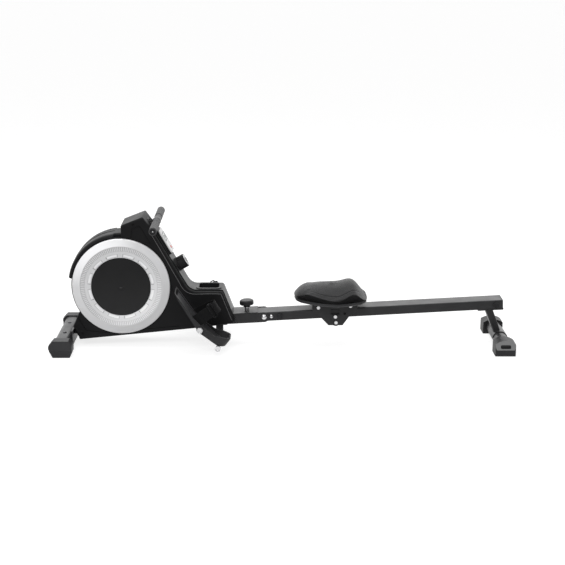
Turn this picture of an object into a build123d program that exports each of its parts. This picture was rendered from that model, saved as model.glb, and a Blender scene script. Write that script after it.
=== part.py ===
# Folding magnetic rowing machine, built as separate pieces in one frame
# +X runs to the rear, -Y is the rower's left, +Z is up, and the floor is at zero
import os
from math import acos, asin, atan2, cos, degrees, hypot, radians, sin

from build123d import *

os.makedirs("parts", exist_ok=True)

# Length that every outline share refers to
datum = 1000.0

# Clearances
running_gap = 0.05
apart_gap = 0.3
fit_gap = 1.0

# Front stabilizer
front_tube_x = -890.0
front_tube_z = 40.0
front_tube_width = 60.0
front_tube_height = 44.0
front_tube_corner = 19.0
front_tube_wall = 2.0
front_tube_half = 174.0
front_cap_inner = 155.0
front_cap_outer = 216.0
cap_wall = 3.0
cap_edge = 5.0
front_cap_crease = 30.0
front_cap_lean = 14.0
front_cap_shoulder = 7.0
wheel_radius = 23.0
wheel_width = 18.0
wheel_x = -915.0
wheel_z = 36.0
wheel_bolt_radius = 4.0
well_gap = 3.0

# Rear stabilizer
rear_tube_x = 897.0
rear_tube_z = 31.0
rear_tube_radius = 28.0
rear_tube_half = 168.0
rear_cap_inner = 115.0
rear_cap_outer = 190.0
rear_cap_lean = 14.0
rear_cap_crease = 27.0
rear_cap_width = 82.0
rear_cap_height = 63.0
rear_slot_width = 41.0
rear_slot_height = 14.0
rear_slot_depth = 12.0

# Main beam
beam_front_x = -856.0
beam_front_z = 59.6
beam_rear_x = -246.0
beam_rear_z = 119.0
beam_width = 60.0
beam_height = 35.0
beam_wall = 2.5
beam_corner = 5.0
saddle_thickness = 6.0
saddle_half = 92.0
saddle_top = 74.0
saddle_reach = 64.0
saddle_foot = 5.0

# Rail and hinge
pivot_x = -73.0
pivot_z = 120.0
rail_slope = 3.2
rail_width = 80.0
rail_height = 38.0
rail_wall = 2.0
rail_corner = 5.0
rail_overhang = 78.0
rail_tongue = 80.0
pivot_bolt_radius = 6.0
pivot_bush_radius = 9.0
ear_radius = 21.0
channel_wall = 3.0
channel_front = 172.0
channel_top_end = 24.6
channel_overhang = 2.0
pivot_head_radius = 11.0
pivot_head_rise = 6.0

# Housing
shroud_half = 70.0
shroud_wall = 3.0
shroud_edge = 7.0
disc_x = -652.0
disc_z = 259.0
drum_radius = 202.0
arch_radius = 216.0
arch_half = 52.0
arch_start = 6.0
arch_end = 82.0
arch_edge = 9.0
slope_angle = 60.0
slope_x = -507.0
slope_z = 464.0
tray_z = 236.0
valley_radius = 50.0
tray_edge = 7.0
recess_depth = 1.2
crease_width = 1.6
crease_depth = 0.8
screw_recess_radius = 5.0
screw_recess_depth = 2.0

# Face panel, cup pocket and rim
panel_half = 54.0
panel_thickness = 4.5
cup_front_x = -339.0
cup_rear_x = -257.0
cup_half = 36.0
cup_corner = 12.0
cup_depth = 70.0
cup_wall = 2.5
rim_width = 11.0
rim_rise = 3.0

# Disc ring and cap
ring_radius = 198.0
ring_thickness = 9.0
ring_edge = 3.0
ring_window_inner = 123.0
ring_window_outer = 135.0
ring_window_count = 12
ring_window_depth = 4.0
tick_inner = 147.0
tick_outer = 166.0
tick_depth = 0.8
cap_radius = 121.0
cap_rim_rise = 9.0
cap_dome_rise = 16.0

# Flywheel train
flywheel_radius = 150.0
flywheel_near = 45.0
flywheel_far = 29.0
flywheel_rim = 26.0
flywheel_web = 5.0
hub_radius = 24.0
shaft_radius = 8.0
cheek_inner = 16.0
cheek_thickness = 4.0
bearing_radius = 16.0
bearing_width = 7.0
small_pulley_radius = 20.0
pulley_near = 26.0
pulley_far = 40.0
large_pulley_radius = 68.0
reel_x = -440.0
reel_z = 194.0
belt_thickness = 2.5
belt_margin = 2.0
coil_radius = 40.0
reel_flange_radius = 47.0
reel_half = 12.8
strap_width = 22.0
strap_thickness = 2.0

# Magnet bracket
magnet_gap = 6.0
magnet_thickness = 4.0
bracket_thickness = 5.0
bracket_from_angle = 150.0
bracket_to_angle = 213.0
bracket_pivot_reach = 166.0
bracket_pivot_angle = 215.0
bracket_pin_radius = 4.0
bracket_boss_radius = 9.0
magnet_count = 3
magnet_angle = 14.0

# Handle
handle_x = -507.0
handle_z = 515.0
handle_half = 200.0
handle_tube_radius = 12.5
handle_tube_wall = 2.0
handle_sleeve_radius = 14.8
grip_radius = 16.0
grip_inner = 65.0
plug_length = 5.0
plug_hole = 7.0
clip_front = 20.0
clip_half = 13.0
clip_height = 17.0
clip_wall = 1.2
roller_pin_radius = 5.0
guide_radius = 12.0
guide_x = -560.0
mouth_width = 40.0
mouth_height = 24.0
mouth_opening_width = 28.0
mouth_opening_height = 13.0
mouth_thickness = 2.0
cradle_half = 30.0

# Console and tension knob
console_from = -13.0
console_to = 98.0
console_half = 43.0
console_height = 14.0
console_face_height = 19.0
console_corner = 14.0
console_face_margin = 3.0
screen_along = 30.0
screen_across = 52.0
screen_at = 26.0
screen_depth = 1.0
button_at = 76.0
button_radius = 6.0
button_rise = 2.0
button_travel = 1.5
knob_at = 154.0
knob_base = 9.0
knob_top = 44.0
knob_radius = 28.0
knob_dial_radius = 26.0
knob_rim = 2.6
knob_stem_radius = 7.0
knob_stem_length = 22.0
flute_count = 10
flute_radius = 5.0

# Pedals, axle and heel bar
axle_x = -329.0
axle_z = 113.0
axle_radius = 8.0
heel_bar_x = -257.0
heel_bar_z = 36.4
axle_half = 205.0
nut_inner = 196.0
nut_thickness = 11.0
nut_radius = 13.0
spacer_radius = 12.0
pedal_inner = 90.0
pedal_outer = 195.0
pedal_wall = 10.0
pedal_heel_round = 44.0
pedal_toe_round = 20.0
pedal_boss = 13.5
foot_strap_width = 50.0
foot_strap_thickness = 3.0
foot_strap_rise = 99.0
foot_strap_half = 49.0
foot_strap_angle = 32.0
foot_strap_seat = 5.0
foot_strap_x = -342.0
foot_strap_z = 149.0
foot_strap_slot = 5.0
buckle_at = 33.0
buckle_length = 22.0
buckle_wire = 4.0
buckle_margin = 6.0
bracket_plate_inner = 24.0
bracket_plate_thickness = 4.0
bracket_foot_radius = 14.0
bracket_bolt_x = -265.0
bracket_bolt_z = 83.0

# Lock knob
lock_at = 69.0
lock_pin_radius = 4.0
lock_hole_radius = 4.8
lock_pin_entry = 3.5
lock_bush_radius = 10.0
lock_bush_height = 14.0
lock_neck_radius = 14.0
lock_neck_height = 9.0
lock_cap_radius = 29.0
lock_cap_height = 20.0
lock_cap_edge = 8.0
second_bolt_at = 30.0

# Seat and carriage
carriage_inner = 44.0
carriage_wall = 3.0
carriage_bolt_x = 219.0
carriage_bolt_z = 124.0
carriage_hole_x = 257.0
carriage_hole_z = 138.0
carriage_hole_radius = 6.0
carriage_top = 188.0
base_top = 201.0
base_edge = 5.0
cushion_top = 272.0
cushion_reach = 150.0
cushion_droop = 50.0
upper_roller_radius = 11.0
upper_front_x = 151.0
upper_rear_x = 282.0
lower_roller_radius = 18.0
lower_roller_x = 220.0
roller_inner = 22.0
roller_outer = 38.0
roller_core_radius = 7.0
roller_bolt_radius = 4.0
seat_nut_radius = 7.5
seat_nut_thickness = 6.0
stop_radius = 11.0
stop_thickness = 10.0
front_stop_x = -9.0
rear_stop_inset = 99.0

# Rear strut
strut_setback = 49.0
strut_width = 60.0
strut_depth = 29.0
strut_wall = 2.5
flange_ahead = 45.0
flange_behind = 60.0
flange_half = 34.0
flange_thickness = 5.0
strut_bolt_margin = 19.0
saddle_strap_width = 50.0
saddle_strap_wall = 3.5

# Small fasteners
bolt_radius = 4.0
bolt_head_radius = 9.0
bolt_head_rise = 4.5
bolt_nut_radius = 7.5
bolt_nut_thickness = 6.0
front_bolt_y = 68.0
screw_radius = 3.6
screw_length = 1.4

# Outlines, as shares of the datum, along X and Z
shroud_shares = [
    (-0.829, 0.031), (-0.359, 0.079), (-0.200, 0.0995), (-0.194, 0.110), (-0.243, 0.236),
    (-0.375364, 0.236), (-0.532, 0.507301), (-0.559, 0.545), (-0.648, 0.510), (-0.645, 0.259),
    (-0.827, 0.148), (-0.855, 0.086), (-0.834, 0.044),
]
cheek_shares = [
    (-0.805, 0.081), (-0.400, 0.120), (-0.400, 0.200), (-0.425, 0.225), (-0.545, 0.490),
    (-0.550, 0.514), (-0.572, 0.516), (-0.582, 0.500), (-0.640, 0.300), (-0.690, 0.285),
    (-0.700, 0.235), (-0.765, 0.182), (-0.805, 0.182),
]
pentagon_shares = [(-0.608, 0.459), (-0.603, 0.497), (-0.573, 0.509), (-0.561, 0.492), (-0.530, 0.436)]
crease_shares = [(-0.483, 0.360), (-0.440, 0.234), (-0.415, 0.209), (-0.355, 0.184)]
lower_crease_shares = [(-0.835, 0.130), (-0.800, 0.070), (-0.720, 0.062), (-0.420, 0.090)]
front_cap_shares = [
    (-0.918, 0.0), (-0.850, 0.0), (-0.841, 0.020), (-0.841, 0.052), (-0.855, 0.066),
    (-0.918, 0.066), (-0.932, 0.050), (-0.932, 0.026),
]
pedal_shares = [
    (-0.427, 0.266), (-0.412, 0.232), (-0.333, 0.1015), (-0.259, 0.046), (-0.229, 0.036),
    (-0.207, 0.069), (-0.215, 0.072), (-0.273, 0.088), (-0.321, 0.127), (-0.363, 0.173),
]
pedal_hollow_shares = [
    (-0.430, 0.275), (-0.4205, 0.2495), (-0.361, 0.164), (-0.318, 0.119), (-0.264, 0.067),
    (-0.242, 0.053), (-0.224, 0.056), (-0.213, 0.071), (-0.215, 0.100), (-0.300, 0.190),
]
carriage_shares = [
    (0.126, 0.188), (0.126, 0.147), (0.162, 0.118), (0.191, 0.087), (0.249, 0.087),
    (0.276, 0.125), (0.308, 0.150), (0.308, 0.188),
]
window_shares = [(0.201, 0.133), (0.236, 0.133), (0.236, 0.156), (0.201, 0.156)]
cushion_side_shares = [
    (0.045, 0.202), (0.056, 0.228), (0.088, 0.246), (0.112, 0.252), (0.154, 0.257),
    (0.201, 0.259), (0.236, 0.262), (0.276, 0.271), (0.297, 0.266), (0.316, 0.247), (0.340, 0.216),
    (0.356, 0.198),
]
cushion_plan_shares = [
    (0.049, 0.0), (0.054, 0.040), (0.072, 0.069), (0.107, 0.097), (0.160, 0.126), (0.224, 0.140),
    (0.280, 0.124), (0.325, 0.098), (0.347, 0.062), (0.352, 0.0),
]
base_plan_shares = [
    (0.052, 0.0), (0.057, 0.039), (0.0745, 0.067), (0.109, 0.0945), (0.1605, 0.1235), (0.224, 0.137),
    (0.279, 0.1215), (0.3225, 0.0965), (0.344, 0.061), (0.349, 0.0),
]
screw_shares = [(-0.8155, 0.058), (-0.240, 0.203)]

# Values that follow from the sizes
slope_rise = sin(radians(slope_angle))
slope_run = cos(radians(slope_angle))
rail_rise = sin(radians(rail_slope))
rail_run = cos(radians(rail_slope))
rail_top = rail_height / 2
rail_rear = rear_tube_x + rail_overhang
rear_stop_x = rail_rear - rear_stop_inset
strut_top_x = rear_tube_x - strut_setback
flange_front_x = strut_top_x - flange_ahead
flange_rear_x = strut_top_x + flange_behind
strut_bolt_front_x = flange_front_x + strut_bolt_margin
strut_bolt_rear_x = flange_rear_x - strut_bolt_margin
channel_half = rail_width / 2 + fit_gap
channel_outer = channel_half + channel_wall
channel_top = rail_top + fit_gap
channel_middle = (channel_top + channel_wall - ear_radius) / 2
beam_length = hypot(beam_rear_x - beam_front_x, beam_rear_z - beam_front_z)
beam_angle = atan2(beam_rear_z - beam_front_z, beam_rear_x - beam_front_x)
guide_z = handle_z - strap_thickness / 2 - apart_gap - guide_radius


# Planes and small forms that are used again and again
def side_plane(y=0.0):
    return Plane(origin=(0, y, 0), x_dir=(1, 0, 0), z_dir=(0, -1, 0))


def rail_side(y=0.0):
    return Plane(origin=(pivot_x, y, pivot_z), x_dir=(rail_run, 0, rail_rise), z_dir=(0, -1, 0))


def rail_section(along=0.0):
    origin = (pivot_x + along * rail_run, 0, pivot_z + along * rail_rise)
    return Plane(origin=origin, x_dir=(0, 1, 0), z_dir=(rail_run, 0, rail_rise))


def rail_normal(along=0.0, height=0.0, y=0.0):
    origin = (
        pivot_x + along * rail_run - height * rail_rise,
        y,
        pivot_z + along * rail_rise + height * rail_run,
    )
    return Plane(origin=origin, x_dir=(rail_run, 0, rail_rise), z_dir=(-rail_rise, 0, rail_run))


def slope_plane(along=0.0, height=0.0):
    origin = (
        slope_x + along * slope_run + height * slope_rise,
        0,
        slope_z - along * slope_rise + height * slope_run,
    )
    return Plane(origin=origin, x_dir=(slope_run, 0, -slope_rise), z_dir=(slope_rise, 0, slope_run))


def rail_along(x):
    return (x - pivot_x) / rail_run


def points_of(shares):
    return [(x * datum, z * datum) for x, z in shares]


def nearest_vertex(sketch, share):
    x, z = share
    target = Vector(x * datum, z * datum)
    return sketch.vertices().sort_by(lambda v: (Vector(v.X, v.Y) - target).length)[0]


def cross_rod(x, z, y_from, y_to, radius):
    with BuildPart() as rod:
        with BuildSketch(side_plane(y_from)):
            with Locations((x, z)):
                Circle(radius)
        extrude(amount=y_from - y_to)
    return rod.part


def cross_tube(x, z, y_from, y_to, radius, bore):
    with BuildPart() as tube:
        with BuildSketch(side_plane(y_from)):
            with Locations((x, z)):
                Circle(radius)
                Circle(bore, mode=Mode.SUBTRACT)
        extrude(amount=y_from - y_to)
    return tube.part


def cross_nut(x, z, y_from, y_to, radius, bore):
    with BuildPart() as nut:
        with BuildSketch(side_plane(y_from)):
            with Locations((x, z)):
                RegularPolygon(radius, 6)
                Circle(bore, mode=Mode.SUBTRACT)
        extrude(amount=y_from - y_to)
    return nut.part


def domed_head(plane, radius, rise):
    bulge = (radius * radius + rise * rise) / (2 * rise)
    half_turn = asin(radius / bulge) / 2
    crown = (bulge * sin(half_turn), rise - bulge + bulge * cos(half_turn))
    section = Plane(origin=plane.origin, x_dir=plane.x_dir, z_dir=plane.x_dir.cross(plane.z_dir))
    with BuildPart() as head:
        with BuildSketch(section):
            with BuildLine():
                Polyline((0, rise), (0, 0), (radius, 0))
                ThreePointArc((radius, 0), crown, (0, rise))
            make_face()
        revolve(axis=Axis(plane.origin, plane.z_dir))
    return head.part


def sector_face(centre, inner, outer, start, turn):
    with BuildSketch(mode=Mode.PRIVATE) as face:
        with BuildLine():
            far = CenterArc(centre, outer, start, turn)
            near = CenterArc(centre, inner, start, turn)
            Line(far @ 0, near @ 0)
            Line(far @ 1, near @ 1)
        make_face()
    return face.sketch


# Front stabilizer: an oval cross tube with two bolt holes through it
with BuildPart() as front_stabilizer:
    with BuildSketch(side_plane()):
        with Locations((front_tube_x, front_tube_z)):
            RectangleRounded(front_tube_width, front_tube_height, front_tube_corner)
            RectangleRounded(
                front_tube_width - 2 * front_tube_wall,
                front_tube_height - 2 * front_tube_wall,
                front_tube_corner - front_tube_wall,
                mode=Mode.SUBTRACT,
            )
    extrude(amount=front_tube_half, both=True)
    with BuildSketch(Plane.XY):
        with Locations((front_tube_x, front_bolt_y), (front_tube_x, -front_bolt_y)):
            Circle(bolt_radius)
    extrude(amount=front_tube_z + front_tube_height, mode=Mode.SUBTRACT)
front_stabilizer.part.label = "front_stabilizer"
export_step(front_stabilizer.part, "parts/front_stabilizer.step")

# Front end caps: moulded feet with a socket for the tube and a well for the wheel
well_inner = front_tube_half + cap_wall
well_outer = well_inner + wheel_width + 2 * well_gap
wheel_y = (well_inner + well_outer) / 2
with BuildPart() as front_end_caps:
    with BuildSketch(side_plane(-front_cap_inner)) as cap_side:
        with BuildLine():
            Polyline(*points_of(front_cap_shares), close=True)
        make_face()
        shoulders = [nearest_vertex(cap_side, front_cap_shares[index]) for index in (3, 4, 5, 6)]
        fillet(shoulders, radius=front_cap_shoulder)
    extrude(amount=front_cap_outer - front_cap_inner)
    chamfer(front_end_caps.faces().sort_by(Axis.Y)[0].edges(), length=cap_edge)
    cap_top = points_of(front_cap_shares)[4][1]
    with BuildSketch(Plane.YZ.offset(front_tube_x)):
        with BuildLine():
            Polyline(
                (-front_cap_outer, front_cap_crease),
                (-front_cap_outer, cap_top),
                (-front_cap_outer + front_cap_lean, cap_top),
                close=True,
            )
        make_face()
    extrude(amount=front_tube_width, both=True, mode=Mode.SUBTRACT)
    with BuildSketch(side_plane(-front_cap_inner)):
        with Locations((front_tube_x, front_tube_z)):
            RectangleRounded(front_tube_width, front_tube_height, front_tube_corner)
    extrude(amount=front_tube_half - front_cap_inner, mode=Mode.SUBTRACT)
    with BuildSketch(side_plane(-well_inner)):
        with Locations((wheel_x, wheel_z)):
            Circle(wheel_radius + well_gap)
        with Locations((wheel_x - wheel_radius, wheel_z)):
            Rectangle(2 * wheel_radius, 2 * (wheel_radius + well_gap))
        with Locations((wheel_x, wheel_z - wheel_radius)):
            Rectangle(2 * (wheel_radius + well_gap), 2 * wheel_radius)
    extrude(amount=well_outer - well_inner, mode=Mode.SUBTRACT)
    with BuildSketch(side_plane(-front_tube_half)):
        with Locations((wheel_x, wheel_z)):
            Circle(wheel_bolt_radius)
    extrude(amount=well_outer + cap_wall - front_tube_half, mode=Mode.SUBTRACT)
    mirror(about=Plane.XZ)
front_end_caps.part.label = "front_end_caps"
export_step(front_end_caps.part, "parts/front_end_caps.step")

# Transport wheels: one in each front foot
with BuildPart() as transport_wheel_left:
    with BuildSketch(side_plane(-wheel_y)):
        with Locations((wheel_x, wheel_z)):
            Circle(wheel_radius)
            Circle(wheel_bolt_radius + running_gap, mode=Mode.SUBTRACT)
    extrude(amount=wheel_width / 2, both=True)
    tread_edges = transport_wheel_left.edges().filter_by(GeomType.CIRCLE).group_by(SortBy.RADIUS)[-1]
    fillet(tread_edges, radius=cap_wall)
transport_wheel_left.part.label = "transport_wheel_left"
export_step(transport_wheel_left.part, "parts/transport_wheel_left.step")

with BuildPart() as transport_wheel_right:
    mirror(transport_wheel_left.part, about=Plane.XZ)
transport_wheel_right.part.label = "transport_wheel_right"
export_step(transport_wheel_right.part, "parts/transport_wheel_right.step")

# Main frame: beam, saddle on the front tube, axle plates, hinge channel and bracket for the heel bar
beam_plane = Plane(
    origin=(beam_front_x, 0, beam_front_z),
    x_dir=(0, 1, 0),
    z_dir=(cos(beam_angle), 0, sin(beam_angle)),
)
saddle_x = front_tube_x + front_tube_width / 2
foot_z = front_tube_z - front_tube_height / 2
magnet_pivot_x = disc_x + bracket_pivot_reach * cos(radians(bracket_pivot_angle))
magnet_pivot_z = disc_z + bracket_pivot_reach * sin(radians(bracket_pivot_angle))
with BuildPart() as main_frame:
    with BuildSketch(beam_plane):
        RectangleRounded(beam_width, beam_height, beam_corner)
    extrude(amount=beam_length)
    with BuildSketch(beam_plane):
        RectangleRounded(beam_width - 2 * beam_wall, beam_height - 2 * beam_wall, beam_corner - beam_wall)
    extrude(amount=beam_length, mode=Mode.SUBTRACT)
    with Locations((saddle_x + saddle_thickness / 2, 0, (foot_z - saddle_foot + saddle_top) / 2)):
        Box(saddle_thickness, 2 * saddle_half, saddle_top - foot_z + saddle_foot)
    with Locations((saddle_x - saddle_reach / 2 + saddle_thickness, 0, foot_z - saddle_foot / 2)):
        Box(saddle_reach, 2 * saddle_half, saddle_foot)
    with BuildSketch(Plane.XY):
        with Locations((front_tube_x, front_bolt_y), (front_tube_x, -front_bolt_y)):
            Circle(bolt_radius)
    extrude(amount=front_tube_z, mode=Mode.SUBTRACT)
    for side in (-1, 1):
        plate_y = -side * (cheek_inner + cheek_thickness / 2)
        with BuildSketch(side_plane(plate_y)):
            with BuildLine():
                Polyline(*points_of(cheek_shares), close=True)
            make_face()
            with Locations((disc_x, disc_z), (reel_x, reel_z)):
                Circle(bearing_radius, mode=Mode.SUBTRACT)
            with Locations((guide_x, guide_z)):
                Circle(roller_pin_radius, mode=Mode.SUBTRACT)
        extrude(amount=cheek_thickness / 2, both=True)
        plate_y = -side * (bracket_plate_inner + bracket_plate_thickness / 2)
        bar_top = heel_bar_z + (axle_z - heel_bar_z) * 7 / 8
        with BuildSketch(side_plane(plate_y)):
            with Locations((heel_bar_x, (bar_top + heel_bar_z) / 2)):
                Rectangle(2 * bracket_foot_radius, bar_top - heel_bar_z)
            with Locations((heel_bar_x, heel_bar_z)):
                Circle(bracket_foot_radius)
                Circle(axle_radius, mode=Mode.SUBTRACT)
            with Locations((bracket_bolt_x, bracket_bolt_z)):
                Circle(bolt_radius, mode=Mode.SUBTRACT)
        extrude(amount=bracket_plate_thickness / 2, both=True)
        plate_y = -side * (channel_half + channel_wall / 2)
        with BuildSketch(rail_side(plate_y)):
            with Locations((-(channel_front + channel_top_end) / 2, channel_middle)):
                Rectangle(channel_front - channel_top_end, channel_top + channel_wall + ear_radius)
            with Locations((-channel_top_end / 2, 0)):
                Rectangle(channel_top_end, 2 * ear_radius)
            Circle(ear_radius)
            Circle(pivot_bolt_radius, mode=Mode.SUBTRACT)
        extrude(amount=channel_wall / 2, both=True)
    with BuildSketch(rail_normal(0, channel_top)):
        with Locations((-(channel_front + channel_top_end) / 2, 0)):
            Rectangle(channel_front - channel_top_end, 2 * (channel_outer + channel_overhang))
        with Locations((-lock_at, 0)):
            Circle(lock_hole_radius, mode=Mode.SUBTRACT)
    extrude(amount=channel_wall)
    with BuildSketch(rail_section(-channel_front - channel_wall)):
        with Locations((0, channel_middle)):
            Rectangle(2 * channel_outer, channel_top + channel_wall + ear_radius)
    extrude(amount=channel_wall)
    add(cross_tube(axle_x, axle_z, beam_width / 2, -beam_width / 2, axle_radius + beam_wall, axle_radius))
    with BuildSketch(side_plane()):
        with Locations((axle_x, axle_z)):
            Circle(axle_radius)
    extrude(amount=beam_width, both=True, mode=Mode.SUBTRACT)
    pin_end = flywheel_near + apart_gap
    add(cross_rod(magnet_pivot_x, magnet_pivot_z, -cheek_inner, -pin_end, bracket_pin_radius))
main_frame.part.label = "main_frame"
export_step(main_frame.part, "parts/main_frame.step")


# Housing shells: the outer form less the same form drawn in by the wall
def shroud_form(inset, edge):
    with BuildPart() as form:
        with BuildSketch(side_plane()) as profile:
            with BuildLine():
                Polyline(*points_of(shroud_shares), close=True)
            make_face()
            fillet(nearest_vertex(profile, shroud_shares[5]), radius=valley_radius)
            fillet(nearest_vertex(profile, shroud_shares[4]), radius=tray_edge)
            fillet(nearest_vertex(profile, shroud_shares[7]), radius=tray_edge)
            fillet(nearest_vertex(profile, shroud_shares[8]), radius=tray_edge)
            offset(amount=-inset)
        extrude(amount=shroud_half - inset, both=True)
        if edge:
            fillet(form.faces().filter_by(Axis.Y).edges(), radius=edge)
        with BuildSketch(side_plane()):
            with Locations((disc_x, disc_z)):
                Circle(drum_radius - inset)
        extrude(amount=shroud_half - inset, both=True)
        arch_plane = Plane(
            origin=(disc_x, 0, disc_z),
            x_dir=(sin(radians(arch_start)), 0, cos(radians(arch_start))),
            z_dir=(-cos(radians(arch_start)), 0, sin(radians(arch_start))),
        )
        with BuildSketch(arch_plane):
            with Locations(((arch_radius - inset) * 3 / 4, 0)):
                RectangleRounded((arch_radius - inset) / 2, 2 * (arch_half - inset), arch_edge)
        arch_turn = arch_start + arch_end - degrees(inset / arch_radius)
        revolve(axis=Axis((disc_x, 0, disc_z), (0, -1, 0)), revolution_arc=arch_turn)
    return form.part


cup_middle_x = (cup_front_x + cup_rear_x) / 2
cup_length = cup_rear_x - cup_front_x
mouth_x = handle_x - clip_front - clip_half
with BuildPart() as shroud_pair:
    add(shroud_form(0.0, shroud_edge))
    add(shroud_form(shroud_wall, 0.0), mode=Mode.SUBTRACT)
    # Opening at the front for the beam
    with Locations((beam_front_x + fit_gap, 0, beam_front_z + fit_gap)):
        Box(beam_width, beam_width + 2 * fit_gap, beam_height + 4 * shroud_wall, mode=Mode.SUBTRACT)
    # Opening at the rear for the hinge channel
    with BuildSketch(rail_section(-channel_front - 2 * channel_wall)):
        with Locations((0, 0)):
            Rectangle(
                2 * (channel_outer + channel_overhang + fit_gap),
                2 * (channel_top + channel_wall + fit_gap),
            )
    extrude(amount=channel_front, mode=Mode.SUBTRACT)
    # Slot below for the heel bar's bracket
    with Locations((heel_bar_x, 0, axle_z - beam_height / 2 - fit_gap)):
        Box(
            2 * (bracket_foot_radius + fit_gap),
            2 * (bracket_plate_inner + bracket_plate_thickness + fit_gap),
            beam_height,
            mode=Mode.SUBTRACT,
        )
    # Holes for the pedal axle
    with BuildSketch(side_plane()):
        with Locations((axle_x, axle_z)):
            Circle(axle_radius + fit_gap)
    extrude(amount=2 * shroud_half, both=True, mode=Mode.SUBTRACT)
    # Well in the tray for the cup pocket
    with BuildSketch(Plane.XY.offset(tray_z - 2 * shroud_wall)):
        with Locations((cup_middle_x, 0)):
            RectangleRounded(
                cup_length + 2 * (cup_wall + fit_gap),
                2 * (cup_half + cup_wall + fit_gap),
                cup_corner + cup_wall + fit_gap,
            )
    extrude(amount=4 * shroud_wall, mode=Mode.SUBTRACT)
    # Mouth for the pull strap
    with Locations((mouth_x, 0, handle_z)):
        Box(2 * mouth_height, mouth_opening_width, mouth_opening_height, mode=Mode.SUBTRACT)
    # Hole for the stem of the tension knob
    with BuildSketch(slope_plane(knob_at, -4 * shroud_wall)):
        Circle(knob_stem_radius + fit_gap)
    extrude(amount=8 * shroud_wall, mode=Mode.SUBTRACT)
    # Recesses, creases and screw wells on both sides
    for side in (-1, 1):
        with BuildSketch(side_plane(side * shroud_half)):
            with BuildLine():
                Polyline(*points_of(pentagon_shares), close=True)
            make_face()
        extrude(amount=side * recess_depth, mode=Mode.SUBTRACT)
        with BuildSketch(side_plane(side * shroud_half)):
            for shares in (crease_shares, lower_crease_shares):
                with BuildLine():
                    Polyline(*points_of(shares))
                trace(line_width=crease_width)
        extrude(amount=side * crease_depth, mode=Mode.SUBTRACT)
        with BuildSketch(side_plane(side * shroud_half)):
            with Locations(*points_of(screw_shares)):
                Circle(screw_recess_radius)
        extrude(amount=side * screw_recess_depth, mode=Mode.SUBTRACT)

with BuildPart() as left_shroud:
    add(shroud_pair.part)
    split(bisect_by=Plane.XZ, keep=Keep.TOP)
left_shroud.part.label = "left_shroud"
export_step(left_shroud.part, "parts/left_shroud.step")

with BuildPart() as right_shroud:
    add(shroud_pair.part)
    split(bisect_by=Plane.XZ, keep=Keep.BOTTOM)
right_shroud.part.label = "right_shroud"
export_step(right_shroud.part, "parts/right_shroud.step")


# Face panel: raised strip over the slope, the tray and the rear face, with the cup pocket
def shroud_prism(grow, half):
    with BuildPart() as prism:
        with BuildSketch(side_plane()) as profile:
            with BuildLine():
                Polyline(*points_of(shroud_shares), close=True)
            make_face()
            fillet(nearest_vertex(profile, shroud_shares[5]), radius=valley_radius)
            fillet(nearest_vertex(profile, shroud_shares[4]), radius=tray_edge)
            offset(amount=grow)
        extrude(amount=half, both=True)
    return prism.part


tray_top = tray_z + panel_thickness
panel_start = -(knob_radius)
panel_reach = hypot(slope_x, slope_z)
panel_end_z = pivot_z - channel_top_end / 4
cup_floor = tray_top - cup_depth
with BuildPart() as face_panel:
    add(shroud_prism(panel_thickness, panel_half))
    add(shroud_prism(0.0, shroud_half), mode=Mode.SUBTRACT)
    with Locations(((axle_x + slope_x) / 2 + panel_reach / 4, 0, panel_end_z + panel_reach / 2)):
        Box(panel_reach, 2 * panel_half, panel_reach, mode=Mode.INTERSECT)
    with BuildSketch(slope_plane(panel_start + panel_reach / 2, -panel_reach / 2)):
        Rectangle(panel_reach, 2 * panel_half)
    extrude(amount=panel_reach, mode=Mode.INTERSECT)
    with BuildSketch(Plane.XY.offset(cup_floor)):
        with Locations((cup_middle_x, 0)):
            RectangleRounded(cup_length + 2 * cup_wall, 2 * (cup_half + cup_wall), cup_corner + cup_wall)
    extrude(amount=cup_depth)
    with BuildSketch(Plane.XY.offset(tray_top)):
        with Locations((cup_middle_x, 0)):
            RectangleRounded(cup_length + 2 * rim_width, 2 * (cup_half + rim_width), cup_corner + rim_width)
    extrude(amount=rim_rise)
    with BuildSketch(Plane.XY.offset(cup_floor + cup_wall)):
        with Locations((cup_middle_x, 0)):
            RectangleRounded(cup_length, 2 * cup_half, cup_corner)
    extrude(amount=cup_depth + rim_rise, mode=Mode.SUBTRACT)
    with BuildSketch(slope_plane(knob_at, panel_thickness)):
        Circle(knob_radius + fit_gap)
    extrude(amount=knob_base - apart_gap - panel_thickness)
    with BuildSketch(slope_plane(knob_at, -panel_thickness)):
        Circle(knob_stem_radius + running_gap)
    extrude(amount=panel_thickness + knob_base, mode=Mode.SUBTRACT)
    with BuildSketch(rail_section(-channel_front - 2 * channel_wall)):
        Rectangle(
            2 * (channel_outer + channel_overhang + fit_gap),
            2 * (channel_top + channel_wall + fit_gap),
        )
    extrude(amount=channel_front, mode=Mode.SUBTRACT)
face_panel.part.label = "face_panel"
export_step(face_panel.part, "parts/face_panel.step")

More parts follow.
